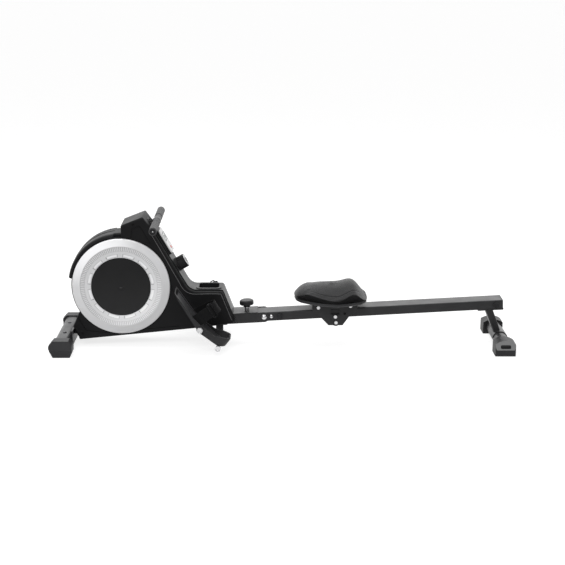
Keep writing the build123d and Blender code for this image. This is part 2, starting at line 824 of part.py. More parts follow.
# Disc rings: silver rings on both sides, with windows and a graduated band
with BuildPart() as disc_rings:
    with BuildSketch(side_plane(-shroud_half)):
        with Locations((disc_x, disc_z)):
            Circle(ring_radius)
            Circle(cap_radius, mode=Mode.SUBTRACT)
    extrude(amount=ring_thickness)
    rim_edges = disc_rings.edges().filter_by(GeomType.CIRCLE).group_by(Axis.Y)[0].sort_by(SortBy.RADIUS)
    fillet(rim_edges[-1], radius=ring_edge)
    window_turn = 360 / ring_window_count
    with BuildSketch(side_plane(-shroud_half - ring_thickness)):
        for window in range(ring_window_count):
            start = window_turn * (window + 1 / 2) - window_turn / 3
            add(sector_face((disc_x, disc_z), ring_window_inner, ring_window_outer, start, window_turn * 2 / 3))
    extrude(amount=-ring_window_depth, mode=Mode.SUBTRACT)
    with BuildSketch(side_plane(-shroud_half - ring_thickness)):
        with Locations((disc_x, disc_z)):
            Circle(tick_outer)
            Circle(tick_inner, mode=Mode.SUBTRACT)
    extrude(amount=-tick_depth, mode=Mode.SUBTRACT)
    mirror(about=Plane.XZ)
disc_rings.part.label = "disc_rings"
export_step(disc_rings.part, "parts/disc_rings.step")

# Disc caps: domed covers in the middle of the rings
disc_face = Plane(origin=(disc_x, -shroud_half, disc_z), x_dir=(1, 0, 0), z_dir=(0, -1, 0))
cap_face = Plane(origin=(disc_x, -shroud_half - cap_rim_rise, disc_z), x_dir=(1, 0, 0), z_dir=(0, -1, 0))
with BuildPart() as disc_caps:
    with BuildSketch(disc_face):
        Circle(cap_radius)
    extrude(amount=cap_rim_rise)
    add(domed_head(cap_face, cap_radius, cap_dome_rise - cap_rim_rise))
    mirror(about=Plane.XZ)
disc_caps.part.label = "disc_caps"
export_step(disc_caps.part, "parts/disc_caps.step")

# Console: black housing, white face, screen and button
console_length = console_to - console_from
console_middle = (console_to + console_from) / 2
with BuildPart() as console_housing:
    with BuildSketch(slope_plane(console_middle, panel_thickness)):
        RectangleRounded(console_length, 2 * console_half, console_corner)
    extrude(amount=console_height - panel_thickness)
console_housing.part.label = "console_housing"
export_step(console_housing.part, "parts/console_housing.step")

with BuildPart() as console_face:
    with BuildSketch(slope_plane(console_middle, console_height)):
        RectangleRounded(
            console_length - 2 * console_face_margin,
            2 * (console_half - console_face_margin),
            console_corner - console_face_margin,
        )
    extrude(amount=console_face_height - console_height)
    top_face = console_face.faces().sort_by(Axis((0, 0, 0), slope_plane().z_dir))[-1]
    fillet(top_face.edges(), radius=panel_thickness / 3)
    with BuildSketch(slope_plane(button_at, console_height)):
        Circle(button_radius + apart_gap)
    extrude(amount=console_height, mode=Mode.SUBTRACT)
    with BuildSketch(slope_plane(screen_at, console_face_height - screen_depth)):
        Rectangle(screen_along, screen_across)
    extrude(amount=screen_depth, mode=Mode.SUBTRACT)
console_face.part.label = "console_face"
export_step(console_face.part, "parts/console_face.step")

with BuildPart() as console_screen:
    with BuildSketch(slope_plane(screen_at, console_face_height - screen_depth)):
        Rectangle(screen_along, screen_across)
    extrude(amount=screen_depth)
console_screen.part.label = "console_screen"
export_step(console_screen.part, "parts/console_screen.step")

button_seat = console_face_height - console_height - button_travel - fit_gap / 2
with BuildPart() as console_button:
    with BuildSketch(slope_plane(button_at, console_face_height - button_seat)):
        Circle(button_radius)
    extrude(amount=button_seat + button_rise)
    top_face = console_button.faces().sort_by(Axis((0, 0, 0), slope_plane().z_dir))[-1]
    fillet(top_face.edges(), radius=button_rise / 2)
console_button.part.label = "console_button"
export_step(console_button.part, "parts/console_button.step")

# Tension knob: fluted, with a dial on top and a stem into the housing
with BuildPart() as tension_knob:
    with BuildSketch(slope_plane(knob_at, knob_base)):
        Circle(knob_radius)
        with PolarLocations(knob_radius + flute_radius * 2 / 3, flute_count):
            Circle(flute_radius, mode=Mode.SUBTRACT)
    extrude(amount=knob_top - knob_base - knob_rim)
    with BuildSketch(slope_plane(knob_at, knob_top - knob_rim)):
        Circle(knob_radius)
    extrude(amount=knob_rim)
    top_face = tension_knob.faces().sort_by(Axis((0, 0, 0), slope_plane().z_dir))[-1]
    fillet(top_face.edges(), radius=knob_radius - knob_dial_radius)
    with BuildSketch(slope_plane(knob_at, -knob_stem_length)):
        Circle(knob_stem_radius)
    extrude(amount=knob_stem_length + knob_base)
tension_knob.part.label = "tension_knob"
export_step(tension_knob.part, "parts/tension_knob.step")

# Handle cradle: two prongs below the handle and a bezel round the strap's mouth
shelf_z = handle_z - handle_sleeve_radius - apart_gap
shelf_x = slope_x + (slope_z - shelf_z) * slope_run / slope_rise
shelf_tip_x = handle_x + handle_tube_radius * 3 / 4
wedge_at = panel_start - 4 * fit_gap
wedge_x = slope_x + wedge_at * slope_run
wedge_z = slope_z - wedge_at * slope_rise
bevel_low = points_of(shroud_shares)[6]
bevel_high = points_of(shroud_shares)[7]
bevel_length = hypot(bevel_high[0] - bevel_low[0], bevel_high[1] - bevel_low[1])
bevel_run = (bevel_high[0] - bevel_low[0]) / bevel_length
bevel_rise = (bevel_high[1] - bevel_low[1]) / bevel_length
mouth_along = (handle_z - bevel_low[1]) / bevel_rise
bezel_centre = mouth_along + mouth_height / 8
bezel_plane = Plane(
    origin=(bevel_low[0] + bezel_centre * bevel_run, 0, bevel_low[1] + bezel_centre * bevel_rise),
    x_dir=(0, 1, 0),
    z_dir=(bevel_rise, 0, -bevel_run),
)
with BuildPart() as handle_cradle:
    with BuildSketch(side_plane()):
        with BuildLine():
            Polyline(
                (shelf_x, shelf_z),
                (shelf_tip_x, shelf_z),
                (shelf_tip_x, shelf_z - cap_wall),
                ((shelf_tip_x + wedge_x) / 2, wedge_z + cap_wall),
                (wedge_x, wedge_z),
                close=True,
            )
        make_face()
    extrude(amount=cradle_half, both=True)
    with Locations((handle_x, 0, handle_z)):
        Box(4 * clip_front, 2 * (clip_half + 2 * fit_gap), 4 * clip_height, mode=Mode.SUBTRACT)
    with BuildSketch(bezel_plane):
        RectangleRounded(mouth_width, mouth_height, mouth_thickness)
    extrude(amount=mouth_thickness)
    with Locations((mouth_x, 0, handle_z)):
        Box(2 * mouth_height, mouth_opening_width, mouth_opening_height, mode=Mode.SUBTRACT)
handle_cradle.part.label = "handle_cradle"
export_step(handle_cradle.part, "parts/handle_cradle.step")

# Guide roller and its pin at the head of the mast
with BuildPart() as guide_roller:
    with BuildSketch(side_plane()):
        with Locations((guide_x, guide_z)):
            Circle(guide_radius)
    extrude(amount=strap_width / 2 + 3 * fit_gap, both=True)
    for side in (-1, 1):
        with BuildSketch(side_plane(side * (strap_width / 2 + 2 * fit_gap))):
            with Locations((guide_x, guide_z)):
                Circle(guide_radius + 2 * strap_thickness)
        extrude(amount=fit_gap, both=True)
    with BuildSketch(side_plane()):
        with Locations((guide_x, guide_z)):
            Circle(roller_pin_radius + running_gap)
    extrude(amount=strap_width, both=True, mode=Mode.SUBTRACT)
guide_roller.part.label = "guide_roller"
export_step(guide_roller.part, "parts/guide_roller.step")

cheek_outer = cheek_inner + cheek_thickness
with BuildPart() as guide_pin:
    add(cross_rod(guide_x, guide_z, cheek_outer + fit_gap, -cheek_outer - fit_gap, roller_pin_radius))
guide_pin.part.label = "guide_pin"
export_step(guide_pin.part, "parts/guide_pin.step")

# Bearings in the axle plates
bearing_far = cheek_inner + (cheek_thickness + bearing_width) / 2
with BuildPart() as shaft_bearings:
    for x, z in ((disc_x, disc_z), (reel_x, reel_z)):
        bearing_near = bearing_far - bearing_width
        add(cross_tube(x, z, bearing_far, bearing_near, bearing_radius, shaft_radius + running_gap))
    mirror(about=Plane.XZ)
shaft_bearings.part.label = "shaft_bearings"
export_step(shaft_bearings.part, "parts/shaft_bearings.step")

# Flywheel: heavy rim, thin web and hub, overhung on the near side
hub_near = flywheel_near + 2 * fit_gap
hub_far = bearing_far + fit_gap
with BuildPart() as flywheel:
    rim_inner = flywheel_radius - flywheel_rim
    add(cross_tube(disc_x, disc_z, -flywheel_far, -flywheel_near, flywheel_radius, rim_inner))
    web_middle = -(flywheel_near + flywheel_far) / 2
    add(
        cross_tube(
            disc_x, disc_z, web_middle + flywheel_web / 2, web_middle - flywheel_web / 2,
            rim_inner, hub_radius,
        )
    )
    add(cross_tube(disc_x, disc_z, -hub_far, -hub_near, hub_radius, shaft_radius))
flywheel.part.label = "flywheel"
export_step(flywheel.part, "parts/flywheel.step")

# Flywheel axle with the small belt pulley on its far end
with BuildPart() as flywheel_axle:
    add(cross_rod(disc_x, disc_z, pulley_far + 3 * fit_gap, -hub_near - 3 * fit_gap, shaft_radius))
    add(cross_rod(disc_x, disc_z, pulley_far, pulley_near, small_pulley_radius))
flywheel_axle.part.label = "flywheel_axle"
export_step(flywheel_axle.part, "parts/flywheel_axle.step")

# Drive pulley and its shaft
with BuildPart() as drive_pulley:
    pulley_rim = large_pulley_radius - 2 * panel_thickness
    add(cross_tube(reel_x, reel_z, pulley_far, pulley_near, large_pulley_radius, pulley_rim))
    add(cross_tube(reel_x, reel_z, pulley_far, pulley_near, hub_radius, shaft_radius))
    add(
        cross_tube(
            reel_x, reel_z, pulley_far - flywheel_web, pulley_near + flywheel_web, pulley_rim, hub_radius,
        )
    )
drive_pulley.part.label = "drive_pulley"
export_step(drive_pulley.part, "parts/drive_pulley.step")

with BuildPart() as pulley_shaft:
    add(cross_rod(reel_x, reel_z, pulley_far + 3 * fit_gap, -bearing_far - fit_gap, shaft_radius))
pulley_shaft.part.label = "pulley_shaft"
export_step(pulley_shaft.part, "parts/pulley_shaft.step")

# Strap reel: hub, wound coil and two flanges
with BuildPart() as strap_reel:
    add(cross_rod(reel_x, reel_z, strap_width / 2, -strap_width / 2, coil_radius))
    for side in (-1, 1):
        with BuildSketch(side_plane(side * (strap_width / 2 + reel_half) / 2)):
            with Locations((reel_x, reel_z)):
                Circle(reel_flange_radius)
        extrude(amount=(reel_half - strap_width / 2) / 2, both=True)
    with BuildSketch(side_plane()):
        with Locations((reel_x, reel_z)):
            Circle(shaft_radius + running_gap)
    extrude(amount=strap_width, both=True, mode=Mode.SUBTRACT)
strap_reel.part.label = "strap_reel"
export_step(strap_reel.part, "parts/strap_reel.step")


# Drive belt round both pulleys, just off their faces
def belt_form(gap, width):
    with BuildPart() as form:
        with BuildSketch(side_plane((pulley_near + pulley_far) / 2)):
            with Locations((disc_x, disc_z)):
                Circle(small_pulley_radius + gap)
            with Locations((reel_x, reel_z)):
                Circle(large_pulley_radius + gap)
            make_hull()
        extrude(amount=width / 2, both=True)
    return form.part


with BuildPart() as drive_belt:
    add(belt_form(apart_gap + belt_thickness, pulley_far - pulley_near - 2 * belt_margin))
    add(belt_form(apart_gap, pulley_far), mode=Mode.SUBTRACT)
drive_belt.part.label = "drive_belt"
export_step(drive_belt.part, "parts/drive_belt.step")

# Pull strap: from the handle over the guide roller and down to the reel
guide_turn = guide_radius + apart_gap + strap_thickness / 2
reel_turn = coil_radius + apart_gap + strap_thickness / 2
strap_span = hypot(reel_x - guide_x, reel_z - guide_z)
span_x = (reel_x - guide_x) / strap_span
span_z = (reel_z - guide_z) / strap_span
lean = (guide_turn - reel_turn) / strap_span
square = cos(asin(lean))
leave_x = lean * span_x + square * span_z
leave_z = lean * span_z - square * span_x
turn_size = hypot(leave_x, leave_z + 1)
turn_middle = (guide_x + guide_turn * leave_x / turn_size, guide_z + guide_turn * (leave_z + 1) / turn_size)
leave_point = (guide_x + guide_turn * leave_x, guide_z + guide_turn * leave_z)
meet_point = (reel_x + reel_turn * leave_x, reel_z + reel_turn * leave_z)
strap_start_x = handle_x - clip_front - apart_gap
with BuildPart() as pull_strap:
    with BuildSketch(side_plane()):
        with BuildLine():
            Line((strap_start_x, handle_z), (guide_x, handle_z))
            ThreePointArc((guide_x, handle_z), turn_middle, leave_point)
            Line(leave_point, meet_point)
        trace(line_width=strap_thickness)
    extrude(amount=strap_width / 2, both=True)
pull_strap.part.label = "pull_strap"
export_step(pull_strap.part, "parts/pull_strap.step")

# Magnet bracket: a curved arm that swings towards the flywheel's rim, with its magnets
magnet_inner = flywheel_radius + magnet_gap
magnet_outer = magnet_inner + magnet_thickness
with BuildPart() as magnet_bracket:
    with BuildSketch(side_plane(-flywheel_far)):
        add(
            sector_face(
                (disc_x, disc_z), magnet_outer, magnet_outer + bracket_thickness,
                bracket_from_angle, bracket_to_angle - bracket_from_angle,
            )
        )
        with Locations((magnet_pivot_x, magnet_pivot_z)):
            Circle(bracket_boss_radius)
            Circle(bracket_pin_radius + running_gap, mode=Mode.SUBTRACT)
    extrude(amount=flywheel_near - flywheel_far)
magnet_bracket.part.label = "magnet_bracket"
export_step(magnet_bracket.part, "parts/magnet_bracket.step")

with BuildPart() as magnets:
    with BuildSketch(side_plane(-flywheel_far - fit_gap)):
        for magnet in range(magnet_count):
            start = bracket_from_angle + magnet_angle * (magnet + 1 / 4)
            add(sector_face((disc_x, disc_z), magnet_inner, magnet_outer, start, magnet_angle / 2))
    extrude(amount=flywheel_near - flywheel_far - 2 * fit_gap)
magnets.part.label = "magnets"
export_step(magnets.part, "parts/magnets.step")

# Handle: tube with a sleeve in the middle, two grips, end plugs and the strap's clip
with BuildPart() as handle_bar:
    tube_half = handle_half - plug_length
    bore = handle_tube_radius - handle_tube_wall
    add(cross_tube(handle_x, handle_z, tube_half, -tube_half, handle_tube_radius, bore))
    add(cross_tube(handle_x, handle_z, grip_inner, -grip_inner, handle_sleeve_radius, handle_tube_radius))
handle_bar.part.label = "handle_bar"
export_step(handle_bar.part, "parts/handle_bar.step")

with BuildPart() as handle_grips:
    add(cross_tube(handle_x, handle_z, -grip_inner, -handle_half, grip_radius, handle_tube_radius))
    grip_rims = handle_grips.edges().filter_by(GeomType.CIRCLE)
    fillet(grip_rims.filter_by(lambda e: e.radius > handle_sleeve_radius), radius=handle_tube_wall)
    mirror(about=Plane.XZ)
handle_grips.part.label = "handle_grips"
export_step(handle_grips.part, "parts/handle_grips.step")

with BuildPart() as handle_end_plugs:
    add(cross_rod(handle_x, handle_z, -tube_half, -handle_half, handle_tube_radius))
    hole_foot = plug_length / 2 - handle_half
    add(cross_rod(handle_x, handle_z, hole_foot, -handle_half, plug_hole), mode=Mode.SUBTRACT)
    mirror(about=Plane.XZ)
handle_end_plugs.part.label = "handle_end_plugs"
export_step(handle_end_plugs.part, "parts/handle_end_plugs.step")

with BuildPart() as strap_clip:
    with BuildSketch(side_plane()):
        with Locations((handle_x, handle_z)):
            Circle(handle_sleeve_radius + clip_wall)
        with Locations((handle_x - clip_front + strap_thickness / 2, handle_z)):
            Rectangle(strap_thickness, 3 * strap_thickness)
        make_hull()
        with Locations((handle_x, handle_z)):
            Circle(handle_sleeve_radius, mode=Mode.SUBTRACT)
    extrude(amount=clip_half, both=True)
strap_clip.part.label = "strap_clip"
export_step(strap_clip.part, "parts/strap_clip.step")

# Pedal: a foot plate with a raised rim and a deep heel cup, slotted for the strap
heel_point = points_of(pedal_shares)[6]
toe_point = points_of(pedal_shares)[0]
foot_length = hypot(toe_point[0] - heel_point[0], toe_point[1] - heel_point[1])
foot_run = (toe_point[0] - heel_point[0]) / foot_length
foot_rise = (toe_point[1] - heel_point[1]) / foot_length
foot_plane = Plane(
    origin=(heel_point[0], 0, heel_point[1]),
    x_dir=(foot_run, 0, foot_rise),
    z_dir=(foot_rise, 0, -foot_run),
)
pedal_middle = (pedal_inner + pedal_outer) / 2
pedal_width = pedal_outer - pedal_inner
plan_length = foot_length + pedal_wall * 2
lean_run = cos(radians(foot_strap_angle))
lean_rise = sin(radians(foot_strap_angle))
strap_plane = Plane(origin=(foot_strap_x, 0, foot_strap_z), x_dir=(0, 1, 0), z_dir=(lean_rise, 0, -lean_run))
rim_from = points_of(pedal_shares)[9]
rim_to = points_of(pedal_shares)[8]
rim_length = hypot(rim_to[0] - rim_from[0], rim_to[1] - rim_from[1])
rim_run = (rim_to[0] - rim_from[0]) / rim_length
rim_fall = (rim_from[1] - rim_to[1]) / rim_length
leg_at = foot_strap_half - foot_strap_thickness / 2


def rim_plane(depth):
    origin = (foot_strap_x - rim_fall * depth, 0, foot_strap_z - rim_run * depth)
    return Plane(origin=origin, x_dir=(0, 1, 0), z_dir=(rim_fall, 0, rim_run))


def foot_plan(inset):
    with BuildPart() as block:
        with BuildSketch(foot_plane) as plan:
            with Locations((foot_length / 2 - pedal_wall / 2, pedal_middle)):
                Rectangle(plan_length - 2 * inset, pedal_width - 2 * inset)
            ordered = plan.vertices().sort_by(Axis.X)
            fillet(ordered[:2], radius=pedal_heel_round - inset)
            ordered = plan.vertices().sort_by(Axis.X)
            fillet(ordered[-2:], radius=pedal_toe_round - inset)
        extrude(amount=foot_length, both=True)
    return block.part


def pedal_hollow():
    with BuildPart() as hollow:
        with BuildSketch(side_plane(-pedal_inner - pedal_wall)):
            with BuildLine():
                Polyline(*points_of(pedal_hollow_shares), close=True)
            make_face()
        extrude(amount=pedal_width - 2 * pedal_wall)
        add(foot_plan(pedal_wall), mode=Mode.INTERSECT)
    return hollow.part


def strap_slots(width):
    with BuildPart() as slots:
        with BuildSketch(strap_plane):
            with Locations((-pedal_middle - leg_at, 0), (-pedal_middle + leg_at, 0)):
                Rectangle(width, foot_strap_width)
        extrude(amount=foot_strap_width / 2 + fit_gap, both=True)
        split(bisect_by=rim_plane(foot_strap_seat + fit_gap / 2), keep=Keep.TOP)
    return slots.part


with BuildPart() as pedal_left:
    with BuildSketch(side_plane(-pedal_inner)):
        with BuildLine():
            Polyline(*points_of(pedal_shares), close=True)
        make_face()
    extrude(amount=pedal_width)
    add(foot_plan(0.0), mode=Mode.INTERSECT)
    add(pedal_hollow(), mode=Mode.SUBTRACT)
    add(strap_slots(foot_strap_slot), mode=Mode.SUBTRACT)
    add(cross_rod(axle_x, axle_z, -pedal_inner, -pedal_outer, pedal_boss))
    bore = axle_radius + running_gap
    add(cross_rod(axle_x, axle_z, -pedal_inner, -pedal_outer, bore), mode=Mode.SUBTRACT)
pedal_left.part.label = "pedal_left"
export_step(pedal_left.part, "parts/pedal_left.step")

with BuildPart() as pedal_right:
    mirror(pedal_left.part, about=Plane.XZ)
pedal_right.part.label = "pedal_right"
export_step(pedal_right.part, "parts/pedal_right.step")

# Pedal strap: a band that arches over the foot and seats in the slots of the rim
with BuildPart() as pedal_strap_left:
    with BuildSketch(strap_plane):
        with Locations((-pedal_middle, 0)):
            Ellipse(foot_strap_half, foot_strap_rise)
            Ellipse(
                foot_strap_half - foot_strap_thickness,
                foot_strap_rise - foot_strap_thickness,
                mode=Mode.SUBTRACT,
            )
        with Locations((-pedal_middle, -foot_strap_rise)):
            Rectangle(4 * foot_strap_half, 2 * foot_strap_rise, mode=Mode.SUBTRACT)
        for leg_y in (-pedal_middle - leg_at, -pedal_middle + leg_at):
            with Locations((leg_y, -foot_strap_width / 4)):
                Rectangle(foot_strap_thickness, foot_strap_width / 2)
    extrude(amount=foot_strap_width / 2, both=True)
    split(bisect_by=rim_plane(foot_strap_seat), keep=Keep.TOP)
pedal_strap_left.part.label = "pedal_strap_left"
export_step(pedal_strap_left.part, "parts/pedal_strap_left.step")

with BuildPart() as pedal_strap_right:
    mirror(pedal_strap_left.part, about=Plane.XZ)
pedal_strap_right.part.label = "pedal_strap_right"
export_step(pedal_strap_right.part, "parts/pedal_strap_right.step")

# Strap buckle: a flat wire loop lying on the strap's outer shoulder
buckle_turn = acos(buckle_at / foot_strap_half)
buckle_height = foot_strap_rise * sin(buckle_turn)
slant_out = foot_strap_rise * cos(buckle_turn)
slant_up = foot_strap_half * sin(buckle_turn)
slant = hypot(slant_out, slant_up)
buckle_plane = Plane(
    origin=(
        foot_strap_x + buckle_height * lean_run,
        -pedal_middle - buckle_at,
        foot_strap_z + buckle_height * lean_rise,
    ),
    x_dir=(lean_rise, 0, -lean_run),
    z_dir=(lean_run * slant_up / slant, -slant_out / slant, lean_rise * slant_up / slant),
)
with BuildPart() as pedal_buckle_left:
    with BuildSketch(buckle_plane):
        RectangleRounded(foot_strap_width + 2 * buckle_margin, buckle_length, buckle_wire)
        RectangleRounded(
            foot_strap_width + 2 * (buckle_margin - buckle_wire),
            buckle_length - 2 * buckle_wire,
            buckle_wire / 2,
            mode=Mode.SUBTRACT,
        )
    extrude(amount=buckle_wire * 3 / 4)
pedal_buckle_left.part.label = "pedal_buckle_left"
export_step(pedal_buckle_left.part, "parts/pedal_buckle_left.step")

with BuildPart() as pedal_buckle_right:
    mirror(pedal_buckle_left.part, about=Plane.XZ)
pedal_buckle_right.part.label = "pedal_buckle_right"
export_step(pedal_buckle_right.part, "parts/pedal_buckle_right.step")

# Pedal axle with its spacers, the heel bar and the nuts on both
with BuildPart() as pedal_axle:
    spacer_from = -shroud_half - fit_gap
    spacer_to = -pedal_inner + apart_gap
    add(cross_tube(axle_x, axle_z, spacer_from, spacer_to, spacer_radius, axle_radius))
    mirror(about=Plane.XZ)
    add(cross_rod(axle_x, axle_z, axle_half, -axle_half, axle_radius))
pedal_axle.part.label = "pedal_axle"
export_step(pedal_axle.part, "parts/pedal_axle.step")

with BuildPart() as heel_rest_bar:
    add(cross_rod(heel_bar_x, heel_bar_z, axle_half, -axle_half, axle_radius))
heel_rest_bar.part.label = "heel_rest_bar"
export_step(heel_rest_bar.part, "parts/heel_rest_bar.step")

with BuildPart() as axle_nuts:
    for x, z in ((axle_x, axle_z), (heel_bar_x, heel_bar_z)):
        add(cross_nut(x, z, -nut_inner, -nut_inner - nut_thickness, nut_radius, axle_radius))
    mirror(about=Plane.XZ)
axle_nuts.part.label = "axle_nuts"
export_step(axle_nuts.part, "parts/axle_nuts.step")

# Frame fasteners: stabilizer bolts with nuts, wheel bolts, bracket bolt heads and housing screws
tube_top_z = front_tube_z + front_tube_height / 2
nut_top_z = foot_z - saddle_foot
with BuildPart() as frame_fasteners:
    with BuildSketch(Plane.XY.offset(nut_top_z - bolt_nut_thickness)):
        with Locations((front_tube_x, -front_bolt_y)):
            Circle(bolt_radius)
    extrude(amount=tube_top_z - nut_top_z + bolt_nut_thickness)
    with BuildSketch(Plane.XY.offset(nut_top_z - bolt_nut_thickness)):
        with Locations((front_tube_x, -front_bolt_y)):
            RegularPolygon(bolt_nut_radius, 6)
    extrude(amount=bolt_nut_thickness)
    head_plane = Plane(origin=(front_tube_x, -front_bolt_y, tube_top_z))
    add(domed_head(head_plane, bolt_head_radius, bolt_head_rise))
    add(cross_rod(wheel_x, wheel_z, -front_tube_half, -well_outer - cap_wall, wheel_bolt_radius))
    plate_outer = bracket_plate_inner + bracket_plate_thickness
    add(cross_rod(bracket_bolt_x, bracket_bolt_z, 0, -plate_outer, bolt_radius))
    nut_outer = plate_outer + bolt_nut_thickness
    add(cross_nut(bracket_bolt_x, bracket_bolt_z, -plate_outer, -nut_outer, bolt_nut_radius, bolt_radius / 2))
    screw_foot = -shroud_half + screw_recess_depth
    for x, z in points_of(screw_shares):
        add(cross_rod(x, z, screw_foot, screw_foot - screw_length, screw_radius))
    mirror(about=Plane.XZ)
frame_fasteners.part.label = "frame_fasteners"
export_step(frame_fasteners.part, "parts/frame_fasteners.step")

# Lock: bush on the channel, spring pin and round knob
bush_top = channel_top + channel_wall + lock_bush_height
neck_foot = bush_top + apart_gap
cap_foot = neck_foot + lock_neck_height
pin_top = cap_foot + lock_cap_height / 4
with BuildPart() as lock_bush:
    with BuildSketch(rail_normal(-lock_at, channel_top + channel_wall)):
        Circle(lock_bush_radius)
        Circle(lock_pin_radius + running_gap, mode=Mode.SUBTRACT)
    extrude(amount=lock_bush_height)
lock_bush.part.label = "lock_bush"
export_step(lock_bush.part, "parts/lock_bush.step")

with BuildPart() as lock_pin:
    with BuildSketch(rail_normal(-lock_at, rail_top - lock_pin_entry)):
        Circle(lock_pin_radius)
    extrude(amount=pin_top - rail_top + lock_pin_entry)
lock_pin.part.label = "lock_pin"
export_step(lock_pin.part, "parts/lock_pin.step")

with BuildPart() as lock_knob:
    with BuildSketch(rail_normal(-lock_at, cap_foot)):
        Circle(lock_cap_radius)
    extrude(amount=lock_cap_height)
    rims = lock_knob.edges().filter_by(GeomType.CIRCLE).sort_by(Axis.Z)
    fillet(rims[-1], radius=lock_cap_edge)
    fillet(lock_knob.edges().filter_by(GeomType.CIRCLE).sort_by(Axis.Z)[0], radius=lock_cap_edge / 2)
    with BuildSketch(rail_normal(-lock_at, neck_foot)):
        Circle(lock_neck_radius)
    extrude(amount=lock_neck_height)
    with BuildSketch(rail_normal(-lock_at, neck_foot)):
        Circle(lock_pin_radius)
    extrude(amount=pin_top - neck_foot, mode=Mode.SUBTRACT)
lock_knob.part.label = "lock_knob"
export_step(lock_knob.part, "parts/lock_knob.step")

# Pivot bolt through the hinge's ears
with BuildPart() as pivot_bolt:
    ear_face = Plane(origin=(pivot_x, -channel_outer, pivot_z), x_dir=(1, 0, 0), z_dir=(0, -1, 0))
    add(domed_head(ear_face, pivot_head_radius, pivot_head_rise))
    mirror(about=Plane.XZ)
    add(cross_rod(pivot_x, pivot_z, channel_outer, -channel_outer, pivot_bolt_radius))
pivot_bolt.part.label = "pivot_bolt"
export_step(pivot_bolt.part, "parts/pivot_bolt.step")


# Points on the rail's side, by distance along X and height off its middle
def rail_point(x, height):
    along = rail_along(x)
    return (
        pivot_x + along * rail_run - height * rail_rise,
        pivot_z + along * rail_rise + height * rail_run,
    )


# Rail: box tube with a tongue ahead of the pivot bush
second_bolt_x = pivot_x + second_bolt_at * rail_run
second_bolt = rail_point(second_bolt_x, 0)
strut_bolt_xs = (strut_bolt_front_x, strut_bolt_rear_x)
with BuildPart() as rail:
    with BuildSketch(rail_section(-rail_tongue)):
        RectangleRounded(rail_width, rail_height, rail_corner)
        RectangleRounded(
            rail_width - 2 * rail_wall,
            rail_height - 2 * rail_wall,
            rail_corner - rail_wall,
            mode=Mode.SUBTRACT,
        )
    extrude(amount=rail_rear + rail_tongue)
    bush_half = (rail_width - rail_wall) / 2
    bush_bore = pivot_bolt_radius + running_gap
    add(cross_rod(pivot_x, pivot_z, bush_half, -bush_half, pivot_bush_radius))
    add(cross_rod(pivot_x, pivot_z, rail_width, -rail_width, bush_bore), mode=Mode.SUBTRACT)
    add(cross_rod(second_bolt[0], second_bolt[1], rail_width, -rail_width, bolt_radius), mode=Mode.SUBTRACT)
    with BuildSketch(rail_normal(-lock_at, 0)):
        Circle(lock_hole_radius)
    extrude(amount=rail_height, mode=Mode.SUBTRACT)
    for x in strut_bolt_xs:
        with BuildSketch(rail_normal(rail_along(x), 0)):
            Circle(bolt_radius)
        extrude(amount=-rail_height, mode=Mode.SUBTRACT)
rail.part.label = "rail"
export_step(rail.part, "parts/rail.step")

with BuildPart() as rail_end_cap:
    with BuildSketch(rail_section(rail_rear)):
        RectangleRounded(rail_width, rail_height, rail_corner)
    extrude(amount=2 * rail_wall)
    with BuildSketch(rail_section(rail_rear)):
        RectangleRounded(rail_width - 2 * rail_wall, rail_height - 2 * rail_wall, rail_corner - rail_wall)
        RectangleRounded(
            rail_width - 4 * rail_wall,
            rail_height - 4 * rail_wall,
            rail_wall / 2,
            mode=Mode.SUBTRACT,
        )
    extrude(amount=-1.5 * rail_wall)
rail_end_cap.part.label = "rail_end_cap"
export_step(rail_end_cap.part, "parts/rail_end_cap.step")

# Seat stops: round rubber buffers on both sides of the rail
with BuildPart() as seat_stops:
    for x in (front_stop_x, rear_stop_x):
        stop = rail_point(x, 0)
        add(cross_rod(stop[0], stop[1], -rail_width / 2, -rail_width / 2 - stop_thickness, stop_radius))
    mirror(about=Plane.XZ)
seat_stops.part.label = "seat_stops"
export_step(seat_stops.part, "parts/seat_stops.step")

# Rail bolts: one through the rail behind the hinge and two for the strut's flange
with BuildPart() as rail_bolts:
    rail_face = Plane(
        origin=(second_bolt[0], -rail_width / 2, second_bolt[1]),
        x_dir=(1, 0, 0),
        z_dir=(0, -1, 0),
    )
    add(domed_head(rail_face, bolt_nut_radius, bolt_head_rise))
    mirror(about=Plane.XZ)
    add(cross_rod(second_bolt[0], second_bolt[1], rail_width / 2, -rail_width / 2, bolt_radius))
    for x in strut_bolt_xs:
        with BuildSketch(rail_normal(rail_along(x), -rail_top + rail_wall)):
            Circle(bolt_radius)
        extrude(amount=-rail_wall - flange_thickness - bolt_nut_thickness)
        with BuildSketch(rail_normal(rail_along(x), -rail_top + rail_wall)):
            Circle(bolt_nut_radius)
        extrude(amount=bolt_nut_thickness / 2)
        with BuildSketch(rail_normal(rail_along(x), -rail_top - flange_thickness)):
            RegularPolygon(bolt_nut_radius, 6)
        extrude(amount=-bolt_nut_thickness)
rail_bolts.part.label = "rail_bolts"
export_step(rail_bolts.part, "parts/rail_bolts.step")

